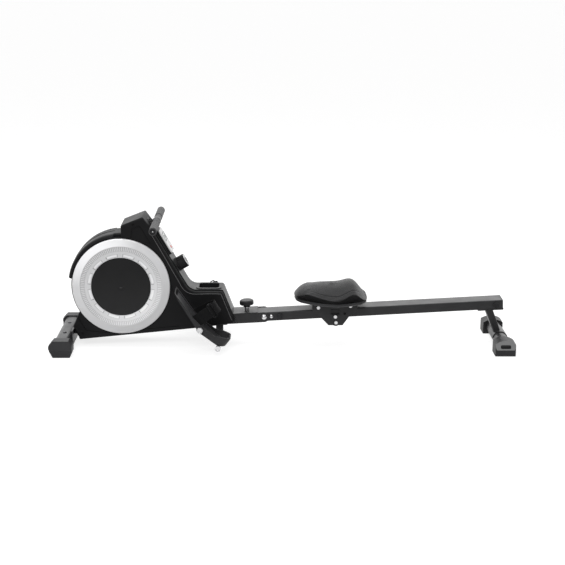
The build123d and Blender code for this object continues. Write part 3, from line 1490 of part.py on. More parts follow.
# Rear strut: leaning box tube under a flange, with a saddle on the rear tube
strut_top = rail_point(strut_top_x, -rail_top)
strut_length = hypot(rear_tube_x - strut_top[0], rear_tube_z - strut_top[1])
strut_run = (rear_tube_x - strut_top[0]) / strut_length
strut_fall = (strut_top[1] - rear_tube_z) / strut_length
strut_plane = Plane(
    origin=(strut_top[0] - strut_run * strut_depth, 0, strut_top[1] + strut_fall * strut_depth),
    x_dir=(0, 1, 0),
    z_dir=(strut_run, 0, -strut_fall),
)
flange_middle = (flange_front_x + flange_rear_x) / 2
with BuildPart() as rear_strut:
    with BuildSketch(strut_plane):
        RectangleRounded(strut_width, strut_depth, 2 * strut_wall)
        RectangleRounded(
            strut_width - 2 * strut_wall,
            strut_depth - 2 * strut_wall,
            strut_wall,
            mode=Mode.SUBTRACT,
        )
    extrude(amount=strut_length + strut_depth)
    with BuildSketch(rail_normal(rail_along(flange_middle), -rail_top - flange_thickness)):
        RectangleRounded((flange_rear_x - flange_front_x) / rail_run, 2 * flange_half, 2 * strut_wall)
        for x in strut_bolt_xs:
            with Locations((rail_along(x) - rail_along(flange_middle), 0)):
                Circle(bolt_radius, mode=Mode.SUBTRACT)
    extrude(amount=flange_thickness)
    split(bisect_by=rail_normal(0, -rail_top), keep=Keep.BOTTOM)
    saddle_half_width = saddle_strap_width
    add(
        cross_rod(
            rear_tube_x, rear_tube_z, saddle_half_width, -saddle_half_width,
            rear_tube_radius + saddle_strap_wall,
        )
    )
    rear_rod = cross_rod(rear_tube_x, rear_tube_z, rear_tube_half, -rear_tube_half, rear_tube_radius)
    add(rear_rod, mode=Mode.SUBTRACT)
    split(bisect_by=Plane.XY.offset(rear_tube_z + saddle_strap_wall), keep=Keep.TOP)
rear_strut.part.label = "rear_strut"
export_step(rear_strut.part, "parts/rear_strut.step")

# Rear stabilizer: round cross tube
with BuildPart() as rear_stabilizer:
    bore = rear_tube_radius - front_tube_wall
    add(cross_tube(rear_tube_x, rear_tube_z, rear_tube_half, -rear_tube_half, rear_tube_radius, bore))
rear_stabilizer.part.label = "rear_stabilizer"
export_step(rear_stabilizer.part, "parts/rear_stabilizer.step")

# Rear end caps: arched feet with a slot in the outer face
arch_foot_z = rear_cap_height - rear_cap_lean
with BuildPart() as rear_end_caps:
    cap_left = rear_tube_x - rear_cap_width / 2
    cap_right = rear_tube_x + rear_cap_width / 2
    with BuildSketch(side_plane(-rear_cap_inner)):
        with BuildLine():
            Polyline((cap_left, arch_foot_z), (cap_left, 0), (cap_right, 0), (cap_right, arch_foot_z))
            ThreePointArc((cap_right, arch_foot_z), (rear_tube_x, rear_cap_height), (cap_left, arch_foot_z))
        make_face()
    extrude(amount=rear_cap_outer - rear_cap_inner)
    outer_edges = rear_end_caps.faces().sort_by(Axis.Y)[0].edges()
    chamfer(outer_edges, length=cap_edge)
    with BuildSketch(Plane.YZ.offset(rear_tube_x)):
        with BuildLine():
            Polyline(
                (-rear_cap_outer, rear_cap_crease),
                (-rear_cap_outer, rear_cap_height),
                (-rear_cap_outer + rear_cap_lean, rear_cap_height),
                close=True,
            )
        make_face()
    extrude(amount=rear_cap_width, both=True, mode=Mode.SUBTRACT)
    socket = cross_rod(rear_tube_x, rear_tube_z, -rear_cap_inner, -rear_tube_half, rear_tube_radius)
    add(socket, mode=Mode.SUBTRACT)
    with BuildSketch(side_plane(-rear_cap_outer)):
        with Locations((rear_tube_x, (rear_cap_height + rear_slot_height) / 2 + fit_gap)):
            RectangleRounded(rear_slot_width, rear_slot_height, rear_slot_height / 3)
    extrude(amount=-rear_slot_depth, mode=Mode.SUBTRACT)
    mirror(about=Plane.XZ)
rear_end_caps.part.label = "rear_end_caps"
export_step(rear_end_caps.part, "parts/rear_end_caps.step")

# Seat cushion: crowned top on a saddle-shaped plan
crown_foot = carriage_top - 2 * cushion_droop
with BuildPart() as seat_cushion:
    with BuildSketch(Plane.XY.offset(base_top)):
        with BuildLine():
            half_plan = Spline(*points_of(cushion_plan_shares), tangents=((0, 1), (0, -1)))
            Line(half_plan @ 1, half_plan @ 0)
        make_face()
        mirror(about=Plane.XZ)
    extrude(amount=cushion_top - base_top)
    for ridge_x, ridge_z in points_of(cushion_side_shares):
        crown_low = ridge_z - cushion_droop
        with BuildSketch(Plane.YZ.offset(ridge_x)):
            with BuildLine():
                ThreePointArc((-cushion_reach, crown_low), (0, ridge_z), (cushion_reach, crown_low))
                Polyline(
                    (cushion_reach, crown_low),
                    (cushion_reach, crown_foot),
                    (-cushion_reach, crown_foot),
                    (-cushion_reach, crown_low),
                )
            make_face()
    loft(mode=Mode.INTERSECT)
seat_cushion.part.label = "seat_cushion"
export_step(seat_cushion.part, "parts/seat_cushion.step")

# Seat base: tapered pan under the cushion
with BuildPart() as seat_base:
    with BuildSketch(Plane.XY.offset(carriage_top)):
        with BuildLine():
            Polyline(*points_of(base_plan_shares), close=True)
        make_face()
        mirror(about=Plane.XZ)
    extrude(amount=base_top - carriage_top)
    chamfer(seat_base.faces().sort_by(Axis.Z)[0].edges(), length=base_edge)
seat_base.part.label = "seat_base"
export_step(seat_base.part, "parts/seat_base.step")

# Seat carriage: channel over the rail with windows in its cheeks
upper_height = rail_top + apart_gap + upper_roller_radius
lower_height = -(rail_top + apart_gap + lower_roller_radius)
upper_front = rail_point(upper_front_x, upper_height)
upper_rear = rail_point(upper_rear_x, upper_height)
lower_middle = rail_point(lower_roller_x, lower_height)
carriage_outer = carriage_inner + carriage_wall
carriage_points = points_of(carriage_shares)
with BuildPart() as seat_carriage:
    with BuildSketch(side_plane(-carriage_inner)):
        with BuildLine():
            Polyline(*carriage_points, close=True)
        make_face()
        with BuildLine():
            Polyline(*points_of(window_shares), close=True)
        make_face(mode=Mode.SUBTRACT)
        with Locations((carriage_hole_x, carriage_hole_z)):
            Circle(carriage_hole_radius, mode=Mode.SUBTRACT)
        with Locations(upper_front, upper_rear, lower_middle, (carriage_bolt_x, carriage_bolt_z)):
            Circle(roller_bolt_radius, mode=Mode.SUBTRACT)
    extrude(amount=carriage_wall)
    mirror(about=Plane.XZ)
    plate_front_x = carriage_points[0][0]
    plate_rear_x = carriage_points[-1][0]
    with BuildSketch(Plane.XY.offset(carriage_top - carriage_wall)):
        with Locations(((plate_front_x + plate_rear_x) / 2, 0)):
            Rectangle(plate_rear_x - plate_front_x, 2 * carriage_outer)
    extrude(amount=carriage_wall)
seat_carriage.part.label = "seat_carriage"
export_step(seat_carriage.part, "parts/seat_carriage.step")

# Seat bolts: the rollers' axles with nuts, and one short stud on each cheek
with BuildPart() as seat_bolts:
    nut_foot = -carriage_outer
    nut_face = nut_foot - seat_nut_thickness
    for x, z in (upper_front, upper_rear, lower_middle, (carriage_bolt_x, carriage_bolt_z)):
        add(cross_nut(x, z, nut_foot, nut_face, seat_nut_radius, roller_bolt_radius))
    add(cross_rod(carriage_bolt_x, carriage_bolt_z, -carriage_inner, nut_face, roller_bolt_radius))
    mirror(about=Plane.XZ)
    for x, z in (upper_front, upper_rear, lower_middle):
        add(cross_rod(x, z, -nut_face, nut_face, roller_bolt_radius))
seat_bolts.part.label = "seat_bolts"
export_step(seat_bolts.part, "parts/seat_bolts.step")


# Rollers: two wheels on one core
def roller_form(centre, radius):
    x, z = centre
    with BuildPart() as form:
        add(cross_rod(x, z, -roller_inner, -roller_outer, radius))
        mirror(about=Plane.XZ)
        add(cross_rod(x, z, roller_inner, -roller_inner, roller_core_radius))
        bore_radius = roller_bolt_radius + running_gap
        add(cross_rod(x, z, roller_outer, -roller_outer, bore_radius), mode=Mode.SUBTRACT)
    return form.part


with BuildPart() as upper_roller_front:
    add(roller_form(upper_front, upper_roller_radius))
upper_roller_front.part.label = "upper_roller_front"
export_step(upper_roller_front.part, "parts/upper_roller_front.step")

with BuildPart() as upper_roller_rear:
    add(roller_form(upper_rear, upper_roller_radius))
upper_roller_rear.part.label = "upper_roller_rear"
export_step(upper_roller_rear.part, "parts/upper_roller_rear.step")

with BuildPart() as lower_roller:
    add(roller_form(lower_middle, lower_roller_radius))
lower_roller.part.label = "lower_roller"
export_step(lower_roller.part, "parts/lower_roller.step")
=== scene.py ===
"""Dress a folding rowing machine: finishes for its solids, and the cushion, straps and trim made here."""

from math import atan2, cos, pi, radians, sin, sqrt

import bpy
from bpy.props import FloatProperty, FloatVectorProperty, IntProperty, PointerProperty
from mathutils import Euler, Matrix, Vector


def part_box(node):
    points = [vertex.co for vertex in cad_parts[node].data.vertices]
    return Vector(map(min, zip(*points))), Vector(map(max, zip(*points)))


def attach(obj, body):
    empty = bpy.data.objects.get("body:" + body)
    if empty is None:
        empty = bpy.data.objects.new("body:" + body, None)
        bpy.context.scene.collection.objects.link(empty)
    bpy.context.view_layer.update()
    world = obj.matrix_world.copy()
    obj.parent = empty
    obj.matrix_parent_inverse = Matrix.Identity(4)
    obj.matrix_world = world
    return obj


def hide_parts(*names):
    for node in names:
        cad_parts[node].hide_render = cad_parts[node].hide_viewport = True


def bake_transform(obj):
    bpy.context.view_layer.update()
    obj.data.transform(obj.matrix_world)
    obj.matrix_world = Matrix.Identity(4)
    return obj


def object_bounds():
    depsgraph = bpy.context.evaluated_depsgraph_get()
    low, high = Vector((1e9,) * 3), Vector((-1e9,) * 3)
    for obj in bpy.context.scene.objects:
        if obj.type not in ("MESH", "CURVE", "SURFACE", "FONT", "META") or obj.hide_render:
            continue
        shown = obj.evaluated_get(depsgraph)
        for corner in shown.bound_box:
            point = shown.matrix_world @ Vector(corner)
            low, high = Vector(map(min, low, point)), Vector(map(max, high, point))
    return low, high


bl_info = {
    "name": "Rowing machine dressing",
    "version": (1, 0, 0),
    "blender": (4, 5, 0),
    "location": "View3D > Sidebar > Rower",
    "description": "Gives a packed rowing machine its finishes, upholstery, straps and studio",
    "category": "Object",
}

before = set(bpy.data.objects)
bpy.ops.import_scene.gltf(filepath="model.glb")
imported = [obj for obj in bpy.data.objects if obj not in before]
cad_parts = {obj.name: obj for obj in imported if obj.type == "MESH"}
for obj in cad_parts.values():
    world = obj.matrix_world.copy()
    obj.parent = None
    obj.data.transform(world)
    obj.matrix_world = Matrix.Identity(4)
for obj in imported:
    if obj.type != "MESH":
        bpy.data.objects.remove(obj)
cad_low, cad_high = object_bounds()

MM = 0.001
ACROSS = Vector((0, 1, 0))
UP = Vector((0, 0, 1))
SIDES = {"left": -1, "right": 1}


def middle_of(node):
    low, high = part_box(node)
    return (low + high) / 2


def ray(turn):
    """The upright direction at a turn that starts at the rear and goes up and forward."""
    return Vector((cos(turn), 0, sin(turn)))


# Places taken from the frame
DISC_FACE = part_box("disc_rings")[1].y
DISC_CENTRE = middle_of("flywheel")
DISC_CENTRE.y = 0
HANDLE_CENTRE = middle_of("handle_bar")
GUIDE_CENTRE = middle_of("guide_roller")
REEL_CENTRE = middle_of("strap_reel")
SEAT_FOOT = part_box("seat_cushion")[0].z + 0.4 * MM

# The band of ticks on the disc rings, and the side from which the rings' painted light falls
TICK_INNER = 148.5 * MM
TICK_OUTER = 164.5 * MM
TICK_WIDTH = 3.4 * MM
TICK_HEIGHT = 0.8 * MM
TICK_TAPER = 0.4 * MM
DISC_LIGHT = ray(radians(124))

# The sloping panel: its top corner, its run down to the tray and its outward direction
SLOPE_TOP = Vector((-507 * MM, 0, 464 * MM))
SLOPE_ANGLE = radians(60)
SLOPE_RUN = ray(-SLOPE_ANGLE)
SLOPE_OUT = ray(pi / 2 - SLOPE_ANGLE)


class RowerColours(bpy.types.PropertyGroup):
    """Base colours of the finishes."""

    paint: FloatVectorProperty(
        name="Paint", description="Powder coat on the steel tubes", subtype="COLOR",
        size=3, min=0, max=1, default=(0.022, 0.022, 0.023),
    )
    housing: FloatVectorProperty(
        name="Housing", description="Grained plastic of the flywheel housing", subtype="COLOR",
        size=3, min=0, max=1, default=(0.0075, 0.0075, 0.008),
    )
    panel: FloatVectorProperty(
        name="Panel", description="Smooth plastic of the sloping panel and tray", subtype="COLOR",
        size=3, min=0, max=1, default=(0.010, 0.010, 0.0105),
    )
    ring: FloatVectorProperty(
        name="Disc ring", description="Silver lacquer of the disc rings", subtype="COLOR",
        size=3, min=0, max=1, default=(0.74, 0.74, 0.75),
    )
    cap: FloatVectorProperty(
        name="Disc cap", description="Smooth plastic of the domed caps", subtype="COLOR",
        size=3, min=0, max=1, default=(0.009, 0.009, 0.0095),
    )
    console: FloatVectorProperty(
        name="Console", description="White face of the console", subtype="COLOR",
        size=3, min=0, max=1, default=(0.54, 0.54, 0.54),
    )
    button: FloatVectorProperty(
        name="Button", description="Red key of the console", subtype="COLOR",
        size=3, min=0, max=1, default=(0.62, 0.07, 0.05),
    )
    foam: FloatVectorProperty(
        name="Foam", description="Closed-cell foam of the grips", subtype="COLOR",
        size=3, min=0, max=1, default=(0.048, 0.048, 0.049),
    )
    vinyl: FloatVectorProperty(
        name="Vinyl", description="Seat cover", subtype="COLOR",
        size=3, min=0, max=1, default=(0.009, 0.009, 0.0095),
    )
    webbing: FloatVectorProperty(
        name="Webbing", description="Woven straps", subtype="COLOR",
        size=3, min=0, max=1, default=(0.0035, 0.0035, 0.0038),
    )
    zinc: FloatVectorProperty(
        name="Zinc", description="Plating of the nuts, bolts and studs", subtype="COLOR",
        size=3, min=0, max=1, default=(0.80, 0.80, 0.81),
    )
    floor: FloatVectorProperty(
        name="Floor", description="Pale studio floor", subtype="COLOR",
        size=3, min=0, max=1, default=(0.88, 0.88, 0.88),
    )


class RowerSoftSizes(bpy.types.PropertyGroup):
    """Sizes of the cushion and the straps."""

    cushion_pressure: FloatProperty(
        name="Cushion pressure", description="Air pressure that fills the cushion's cover",
        default=2.5, min=0, max=20,
    )
    cushion_swell: FloatProperty(
        name="Cushion swell", description="Most that the cover may stand out of its pattern",
        default=2.5 * MM, min=0, subtype="DISTANCE", unit="LENGTH",
    )
    welt_radius: FloatProperty(
        name="Welt radius", description="Radius of the cord sewn into the cushion's edge",
        default=1.3 * MM, min=0, subtype="DISTANCE", unit="LENGTH",
    )
    channel_depth: FloatProperty(
        name="Channel depth", description="Depth of the line sewn into the seat's top",
        default=1.8 * MM, min=0, subtype="DISTANCE", unit="LENGTH",
    )
    foot_strap_width: FloatProperty(
        name="Foot strap width", description="Width of the bands over the feet",
        default=49 * MM, min=0, subtype="DISTANCE", unit="LENGTH",
    )
    foot_strap_thickness: FloatProperty(
        name="Foot strap thickness", description="Thickness of the bands over the feet",
        default=2.6 * MM, min=0, subtype="DISTANCE", unit="LENGTH",
    )
    pull_strap_width: FloatProperty(
        name="Pull strap width", description="Width of the strap that the handle pulls",
        default=21.6 * MM, min=0, subtype="DISTANCE", unit="LENGTH",
    )
    pull_strap_thickness: FloatProperty(
        name="Pull strap thickness", description="Thickness of the strap that the handle pulls",
        default=1.8 * MM, min=0, subtype="DISTANCE", unit="LENGTH",
    )


class RowerTrimSizes(bpy.types.PropertyGroup):
    """Counts and sizes of the small trim."""

    disc_ticks: IntProperty(
        name="Disc ticks", description="Raised ticks round each disc ring", default=132, min=12,
    )
    knob_ticks: IntProperty(
        name="Knob ticks", description="Ticks round the top of the tension knob", default=24, min=4,
    )
    tread_bars: IntProperty(
        name="Tread bars", description="Raised bars across each foot plate", default=9, min=1,
    )
    edge_radius: FloatProperty(
        name="Edge radius", description="Rounding of the edges, in the shading only",
        default=1.2 * MM, min=0, subtype="DISTANCE", unit="LENGTH",
    )


class RowerStudio(bpy.types.PropertyGroup):
    """Camera and light."""

    camera_place: FloatVectorProperty(
        name="Camera place", description="Where the camera stands", subtype="TRANSLATION",
        size=3, default=(-0.0577, -4.9032, 1.6198),
    )
    camera_tilt: FloatProperty(
        name="Camera tilt", description="Turn about the camera's level axis",
        default=radians(74.454), subtype="ANGLE", unit="ROTATION",
    )
    camera_turn: FloatProperty(
        name="Camera turn", description="Turn about the upright axis",
        default=radians(0.244), subtype="ANGLE", unit="ROTATION",
    )
    camera_lens: FloatProperty(name="Lens", description="Focal length in millimetres", default=78.97, min=1)
    camera_shift: FloatProperty(name="Shift", description="Sideways shift of the picture", default=0.035)
    key_power: FloatProperty(
        name="Overhead light", description="Power of the large light above", default=70, min=0,
    )
    fill_power: FloatProperty(
        name="Fill light", description="Power of the light at the front", default=96, min=0,
    )
    sky: FloatProperty(
        name="Sky", description="Strength of the even light from all round", default=0.5, min=0,
    )
    backdrop: FloatProperty(
        name="Backdrop", description="Brightness of the floor to the camera", default=1.4, min=0,
    )
    front_gloss: FloatProperty(
        name="Front gloss", description="Brightness that gloss sees in front of the machine",
        default=0.10, min=0, max=1,
    )
    back_gloss: FloatProperty(
        name="Back gloss", description="Brightness that gloss sees behind the machine", default=1.9, min=0,
    )
    floor_shadow: FloatProperty(
        name="Floor shadow", description="Share of the floor that takes the light's shadow",
        default=0.45, min=0, max=1,
    )


def settings(name):
    return getattr(bpy.context.scene, "rower_" + name)


def spread(start, end, spans):
    """Numbers from start to end, evenly spaced."""
    return [start + (end - start) * step / spans for step in range(spans + 1)]


def share_between(value, low, high):
    """How far a value has come from low to high, held to 0 to 1."""
    return min(max((value - low) / (high - low), 0), 1)


def upright(pairs, y=0.0):
    """Points of an upright plane, from (x, z) pairs in millimetres."""
    return [Vector((x, 0, z)) * MM + ACROSS * y for x, z in pairs]


class Nodes:
    """Makes and joins the nodes of one tree."""

    def __init__(self, tree):
        self.tree = tree

    def node(self, kind, **values):
        made = self.tree.nodes.new(kind)
        for name, value in values.items():
            setattr(made, name, value)
        return made

    def join(self, source, target):
        self.tree.links.new(source, target)

    def math(self, kind, operation, sources, out="Value"):
        """A node of sums, fed by the sources in their order."""
        made = self.node(kind, operation=operation)
        for source, target in zip(sources, made.inputs):
            self.join(source, target)
        return made.outputs[out]

    def times(self, *factors):
        return self.math("ShaderNodeMath", "MULTIPLY", factors)

    def parts(self, vector):
        """The X, Y and Z of a vector, by name."""
        apart = self.node("ShaderNodeSeparateXYZ")
        self.join(vector, apart.inputs["Vector"])
        return apart.outputs

    def between(self, value, low, high, to_low=0.0, to_high=1.0, **style):
        """The value's part from low to high, spread over to_low to to_high."""
        made = self.node("ShaderNodeMapRange", **style)
        for socket, number in zip(("From Min", "From Max", "To Min", "To Max"), (low, high, to_low, to_high)):
            made.inputs[socket].default_value = number
        self.join(value, made.inputs["Value"])
        return made.outputs["Result"]

    def surface(self, share, first, second, output):
        """Mixes two shaders by share and hands them to the output."""
        mix = self.node("ShaderNodeMixShader")
        for source, target in zip((share, first, second), mix.inputs):
            self.join(source, target)
        self.join(mix.outputs["Shader"], self.tree.nodes[output].inputs["Surface"])

    def backdrop_rays(self):
        """The light path, and 1 for its rays that see a backdrop: of the camera, of gloss and of glass."""
        rays = self.node("ShaderNodeLightPath").outputs
        seen = rays["Is Camera Ray"]
        for kind in ("Is Glossy Ray", "Is Transmission Ray"):
            seen = self.math("ShaderNodeMath", "MAXIMUM", (seen, rays[kind]))
        return rays, seen


class Finish(Nodes):
    """A material whose grain stays fixed to its piece, in layers on one shader. Sizes are in millimetres."""

    def __init__(self, name, colour, roughness, metallic=0.0, specular=0.5):
        self.material = bpy.data.materials.new(name)
        self.material.use_nodes = True
        super().__init__(self.material.node_tree)
        self.shader = self.tree.nodes["Principled BSDF"]
        self.shader.inputs["Base Color"].default_value = (*colour, 1.0)
        self.shader.inputs["Roughness"].default_value = roughness
        self.shader.inputs["Metallic"].default_value = metallic
        self.shader.inputs["Specular IOR Level"].default_value = specular
        self.place = self.node("ShaderNodeTexCoord").outputs["Object"]
        self.colour = None
        self.normal = None

    def noise(self, size, detail=3.0, stretch=(1, 1, 1)):
        """Cloudy value whose clouds are about size across."""
        mapping = self.node("ShaderNodeMapping")
        mapping.inputs["Scale"].default_value = stretch
        self.join(self.place, mapping.inputs["Vector"])
        noise = self.node("ShaderNodeTexNoise")
        noise.inputs["Scale"].default_value = 1 / (size * MM)
        noise.inputs["Detail"].default_value = detail
        self.join(mapping.outputs["Vector"], noise.inputs["Vector"])
        return noise.outputs["Fac"]

    def pores(self, size, wall, depth):
        """Presses hollows about size across into the surface, with raised walls between them."""
        cells = self.node("ShaderNodeTexVoronoi", feature="DISTANCE_TO_EDGE")
        cells.inputs["Scale"].default_value = 1 / (size * MM)
        self.join(self.place, cells.inputs["Vector"])
        self.relief(self.between(cells.outputs["Distance"], 0, wall), depth)

    def tint(self, share, colour):
        """Lays another colour over the base where share is high."""
        mix = self.node("ShaderNodeMix", data_type="RGBA")
        base = self.shader.inputs["Base Color"]
        if self.colour is None:
            mix.inputs["A"].default_value = base.default_value
        else:
            self.join(self.colour, mix.inputs["A"])
        mix.inputs["B"].default_value = (*colour, 1.0)
        self.join(share, mix.inputs["Factor"])
        self.colour = mix.outputs["Result"]
        self.join(self.colour, base)

    def clouds(self, size, detail, low, high, most, colour, stretch=(1, 1, 1)):
        """Tints clouds about size across, by up to most in their hearts."""
        self.tint(self.between(self.noise(size, detail, stretch), low, high, 0, most), colour)

    def gloss(self, size, low, high):
        """Roughness that wanders from low to high."""
        self.join(self.between(self.noise(size, 4), 0.3, 0.7, low, high), self.shader.inputs["Roughness"])

    def layer(self, kind, weight, roughness):
        """A Coat or a Sheen over the base."""
        self.shader.inputs[kind + " Weight"].default_value = weight
        self.shader.inputs[kind + " Roughness"].default_value = roughness

    def bevel(self, softness):
        made = self.node("ShaderNodeBevel", samples=4)
        made.inputs["Radius"].default_value = settings("trim").edge_radius * softness
        return made.outputs["Normal"]

    def turn_normal(self, normal):
        self.normal = normal
        self.join(normal, self.shader.inputs["Normal"])

    def round_edges(self, softness=1):
        self.turn_normal(self.bevel(softness))

    def rubbed(self, softness, size, low, most, colour):
        """Tints the edges that hands and feet rub, in patches about size across."""
        face = self.node("ShaderNodeNewGeometry").outputs["Normal"]
        turn = self.math("ShaderNodeVectorMath", "DOT_PRODUCT", (self.bevel(softness), face))
        patches = self.between(self.noise(size), low, 0.7, 0, most)
        self.tint(self.times(self.between(turn, 0.985, 0.75), patches), colour)

    def relief(self, height, depth):
        """Stands the surface up by depth where height is 1."""
        bump = self.node("ShaderNodeBump")
        bump.inputs["Distance"].default_value = depth * MM
        self.join(height, bump.inputs["Height"])
        if self.normal is not None:
            self.join(self.normal, bump.inputs["Normal"])
        self.turn_normal(bump.outputs["Normal"])

    def grain(self, size, detail, depth, stretch=(1, 1, 1)):
        self.relief(self.noise(size, detail, stretch), depth)

    def facing(self):
        """The X, Y and Z of the surface's own direction."""
        return self.parts(self.node("ShaderNodeTexCoord").outputs["Normal"])


def lighter(colour, by):
    return tuple(min(1.0, part * by) for part in colour)


def painted_steel(name, colour):
    """Satin powder coat: fine orange peel, a thin clear sheen, edges rubbed a little lighter."""
    made = Finish(name, colour, 0.36, specular=0.2)
    made.round_edges()
    made.grain(1.4, 2, 0.05)
    made.gloss(60, 0.31, 0.43)
    made.clouds(45, 5, 0.45, 0.75, 0.5, lighter(colour, 1.5))
    made.rubbed(1, 9, 0.4, 0.6, lighter(colour, 3.2))
    made.layer("Coat", 0.04, 0.28)


def moulded_plastic(name, colour, roughness, grain, specular=0.2, softness=1):
    """Moulded plastic with an etched grain, flow marks and softened edges."""
    made = Finish(name, colour, roughness, specular=specular)
    made.round_edges(softness)
    made.grain(grain, 2, 0.09)
    made.gloss(80, roughness - 0.05, roughness + 0.07)
    made.clouds(110, 5, 0.4, 0.75, 0.55, lighter(colour, 1.45), (1, 1, 0.5))
    made.rubbed(softness, 12, 0.35, 0.5, lighter(colour, 2.6))
    return made


def cap_with_painted_light(name, colour):
    """Moulded plastic whose outer faces that lean up are painted paler, as painted light."""
    made = moulded_plastic(name, colour, 0.46, 1.0)
    facing = made.facing()
    # Painted light: the outer faces along Y that lean a little upward are tinted paler
    outer = made.between(made.times(facing["Y"], facing["Y"]), 0.6, 0.8)
    made.tint(made.times(outer, made.between(facing["Z"], 0.08, 0.16)), (0.17, 0.17, 0.172))


def silver_lacquer(name, colour):
    """Lacquered plastic: pale, faintly metallic, with fine flakes."""
    made = Finish(name, colour, 0.34, metallic=0.15)
    made.round_edges()
    made.grain(0.7, 1, 0.015)
    made.gloss(35, 0.28, 0.42)
    made.clouds(150, 3, 0.4, 0.7, 0.4, lighter(colour, 0.9))
    made.layer("Coat", 0.25, 0.2)
    return made


def disc_lacquer(name, colour, band_painted_shade=0.0):
    """The lacquer of the discs, with painted light and shade: a rim painted paler at its upper left and
    darker opposite, a middle painted as a dish in the light, and a tick band painted darker as shade.
    """
    made = silver_lacquer(name, lighter(colour, 0.86))
    centred = made.node("ShaderNodeMapping")
    centred.inputs["Location"].default_value = -DISC_CENTRE
    centred.inputs["Scale"].default_value = (1, 0, 1)
    made.join(made.place, centred.inputs["Vector"])
    place = centred.outputs["Vector"]
    reach = made.math("ShaderNodeVectorMath", "LENGTH", (place,))
    way = made.math("ShaderNodeVectorMath", "NORMALIZE", (place,), "Vector")
    facing = made.node("ShaderNodeVectorMath", operation="DOT_PRODUCT")
    facing.inputs[1].default_value = DISC_LIGHT
    made.join(way, facing.inputs[0])
    turn = facing.outputs["Value"]
    rim = made.between(reach, TICK_OUTER + 1 * MM, TICK_OUTER + 5 * MM)
    dish_painted_light = made.between(reach, TICK_OUTER + 3 * MM, TICK_OUTER)
    # Painted light and shade: the rim is tinted paler towards DISC_LIGHT and darker away from it, and the
    # middle inside the ticks the other way round
    for part, from_turn, to_turn, shade in (
        (rim, 0.55, 1, 1.3), (rim, 0.35, -1, 0.66), (dish_painted_light, -0.3, 1, 0.76), (dish_painted_light, -0.3, -1, 1.02),
    ):
        made.tint(made.times(part, made.between(turn, from_turn, to_turn)), lighter(colour, shade))
    # Painted shade: the tick band is tinted darker, most on the side towards DISC_LIGHT
    if band_painted_shade:
        band = made.times(made.between(reach, TICK_INNER - 1.5 * MM, TICK_INNER), dish_painted_light)
        made.tint(made.times(band, made.between(turn, 1, -1, band_painted_shade, band_painted_shade / 2)), lighter(colour, 0.5))


def plated_steel(name, colour):
    """Plated steel with turning marks and a few dull clouds."""
    made = Finish(name, colour, 0.3, metallic=1.0)
    made.round_edges(0.5)
    made.grain(2.2, 2, 0.03, (1, 9, 1))
    made.gloss(6, 0.22, 0.4)
    made.clouds(8, 5, 0.45, 0.75, 0.6, lighter(colour, 0.72))


def cast_iron(name, colour):
    """Turned grey iron: tool marks and dark pores."""
    made = Finish(name, colour, 0.45, metallic=0.85)
    made.round_edges()
    made.grain(1.1, 4, 0.08)
    made.gloss(20, 0.38, 0.55)
    made.clouds(3, 4, 0.55, 0.75, 0.7, lighter(colour, 0.4))


def soft_rubber(name, colour):
    """Matt rubber: chalky in places, with a fine mould texture."""
    made = Finish(name, colour, 0.72, specular=0.15)
    made.round_edges()
    made.grain(0.9, 3, 0.1)
    made.gloss(25, 0.66, 0.82)
    made.clouds(18, 5, 0.45, 0.75, 0.5, lighter(colour, 1.9))


def grip_foam(name, colour):
    """Closed-cell foam: open pores, a soft bloom and hand wear."""
    made = Finish(name, colour, 0.85, specular=0.25)
    made.pores(1.3, 0.12, 0.22)
    made.grain(7, 4, 0.25)
    made.clouds(2.0, 4, 0.4, 0.7, 0.5, lighter(colour, 0.6))
    made.clouds(30, 3, 0.45, 0.7, 0.5, lighter(colour, 1.35))
    made.layer("Sheen", 0.2, 0.6)


def seat_vinyl(name, colour):
    """Stretched vinyl: pebble grain, gentle creases and sides painted darker as shade."""
    made = Finish(name, colour, 0.42, specular=0.12)
    made.pores(1.6, 0.16, 0.12)
    made.grain(0.5, 2, 0.03)
    made.grain(38, 3, 0.4, (1, 0.5, 1))
    made.gloss(70, 0.34, 0.5)
    made.clouds(26, 5, 0.45, 0.75, 0.5, lighter(colour, 1.6))
    # Painted shade: faces that turn from up to sideways are tinted darker
    made.tint(made.between(made.facing()["Z"], 0.75, 0.35), lighter(colour, 0.35))


def woven_webbing(name, colour, mapped):
    """Ribbed webbing: yarns cross over and under, along the band's own map or, unmapped, along the object."""
    made = Finish(name, colour, 0.78, specular=0.1)
    runs = made.parts(made.node("ShaderNodeUVMap", uv_map="band").outputs["UV"] if mapped else made.place)
    waves = []
    for axis, pitch in (("X", 1.7 * MM), ("Y", 1.3 * MM)):
        turn = made.node("ShaderNodeMath", operation="MULTIPLY")
        turn.inputs[1].default_value = 2 * pi / pitch
        made.join(runs[axis], turn.inputs[0])
        waves.append(made.math("ShaderNodeMath", "SINE", (turn.outputs["Value"],)))
    yarn = made.between(made.times(*waves), -1, 1)
    made.relief(yarn, 0.25)
    made.grain(0.4, 2, 0.06)
    made.tint(made.between(yarn, 0.35, 0.9, 0, 0.6), lighter(colour, 2.4))
    made.clouds(14, 4, 0.45, 0.75, 0.4, lighter(colour, 1.8))
    made.layer("Sheen", 0.04, 0.5)


def liquid_crystal(name, colour):
    """Grey-green display behind a clear window."""
    made = Finish(name, colour, 0.15)
    made.gloss(15, 0.1, 0.2)
    made.clouds(9, 4, 0.4, 0.7, 0.4, lighter(colour, 0.9))
    made.layer("Coat", 0.6, 0.05)


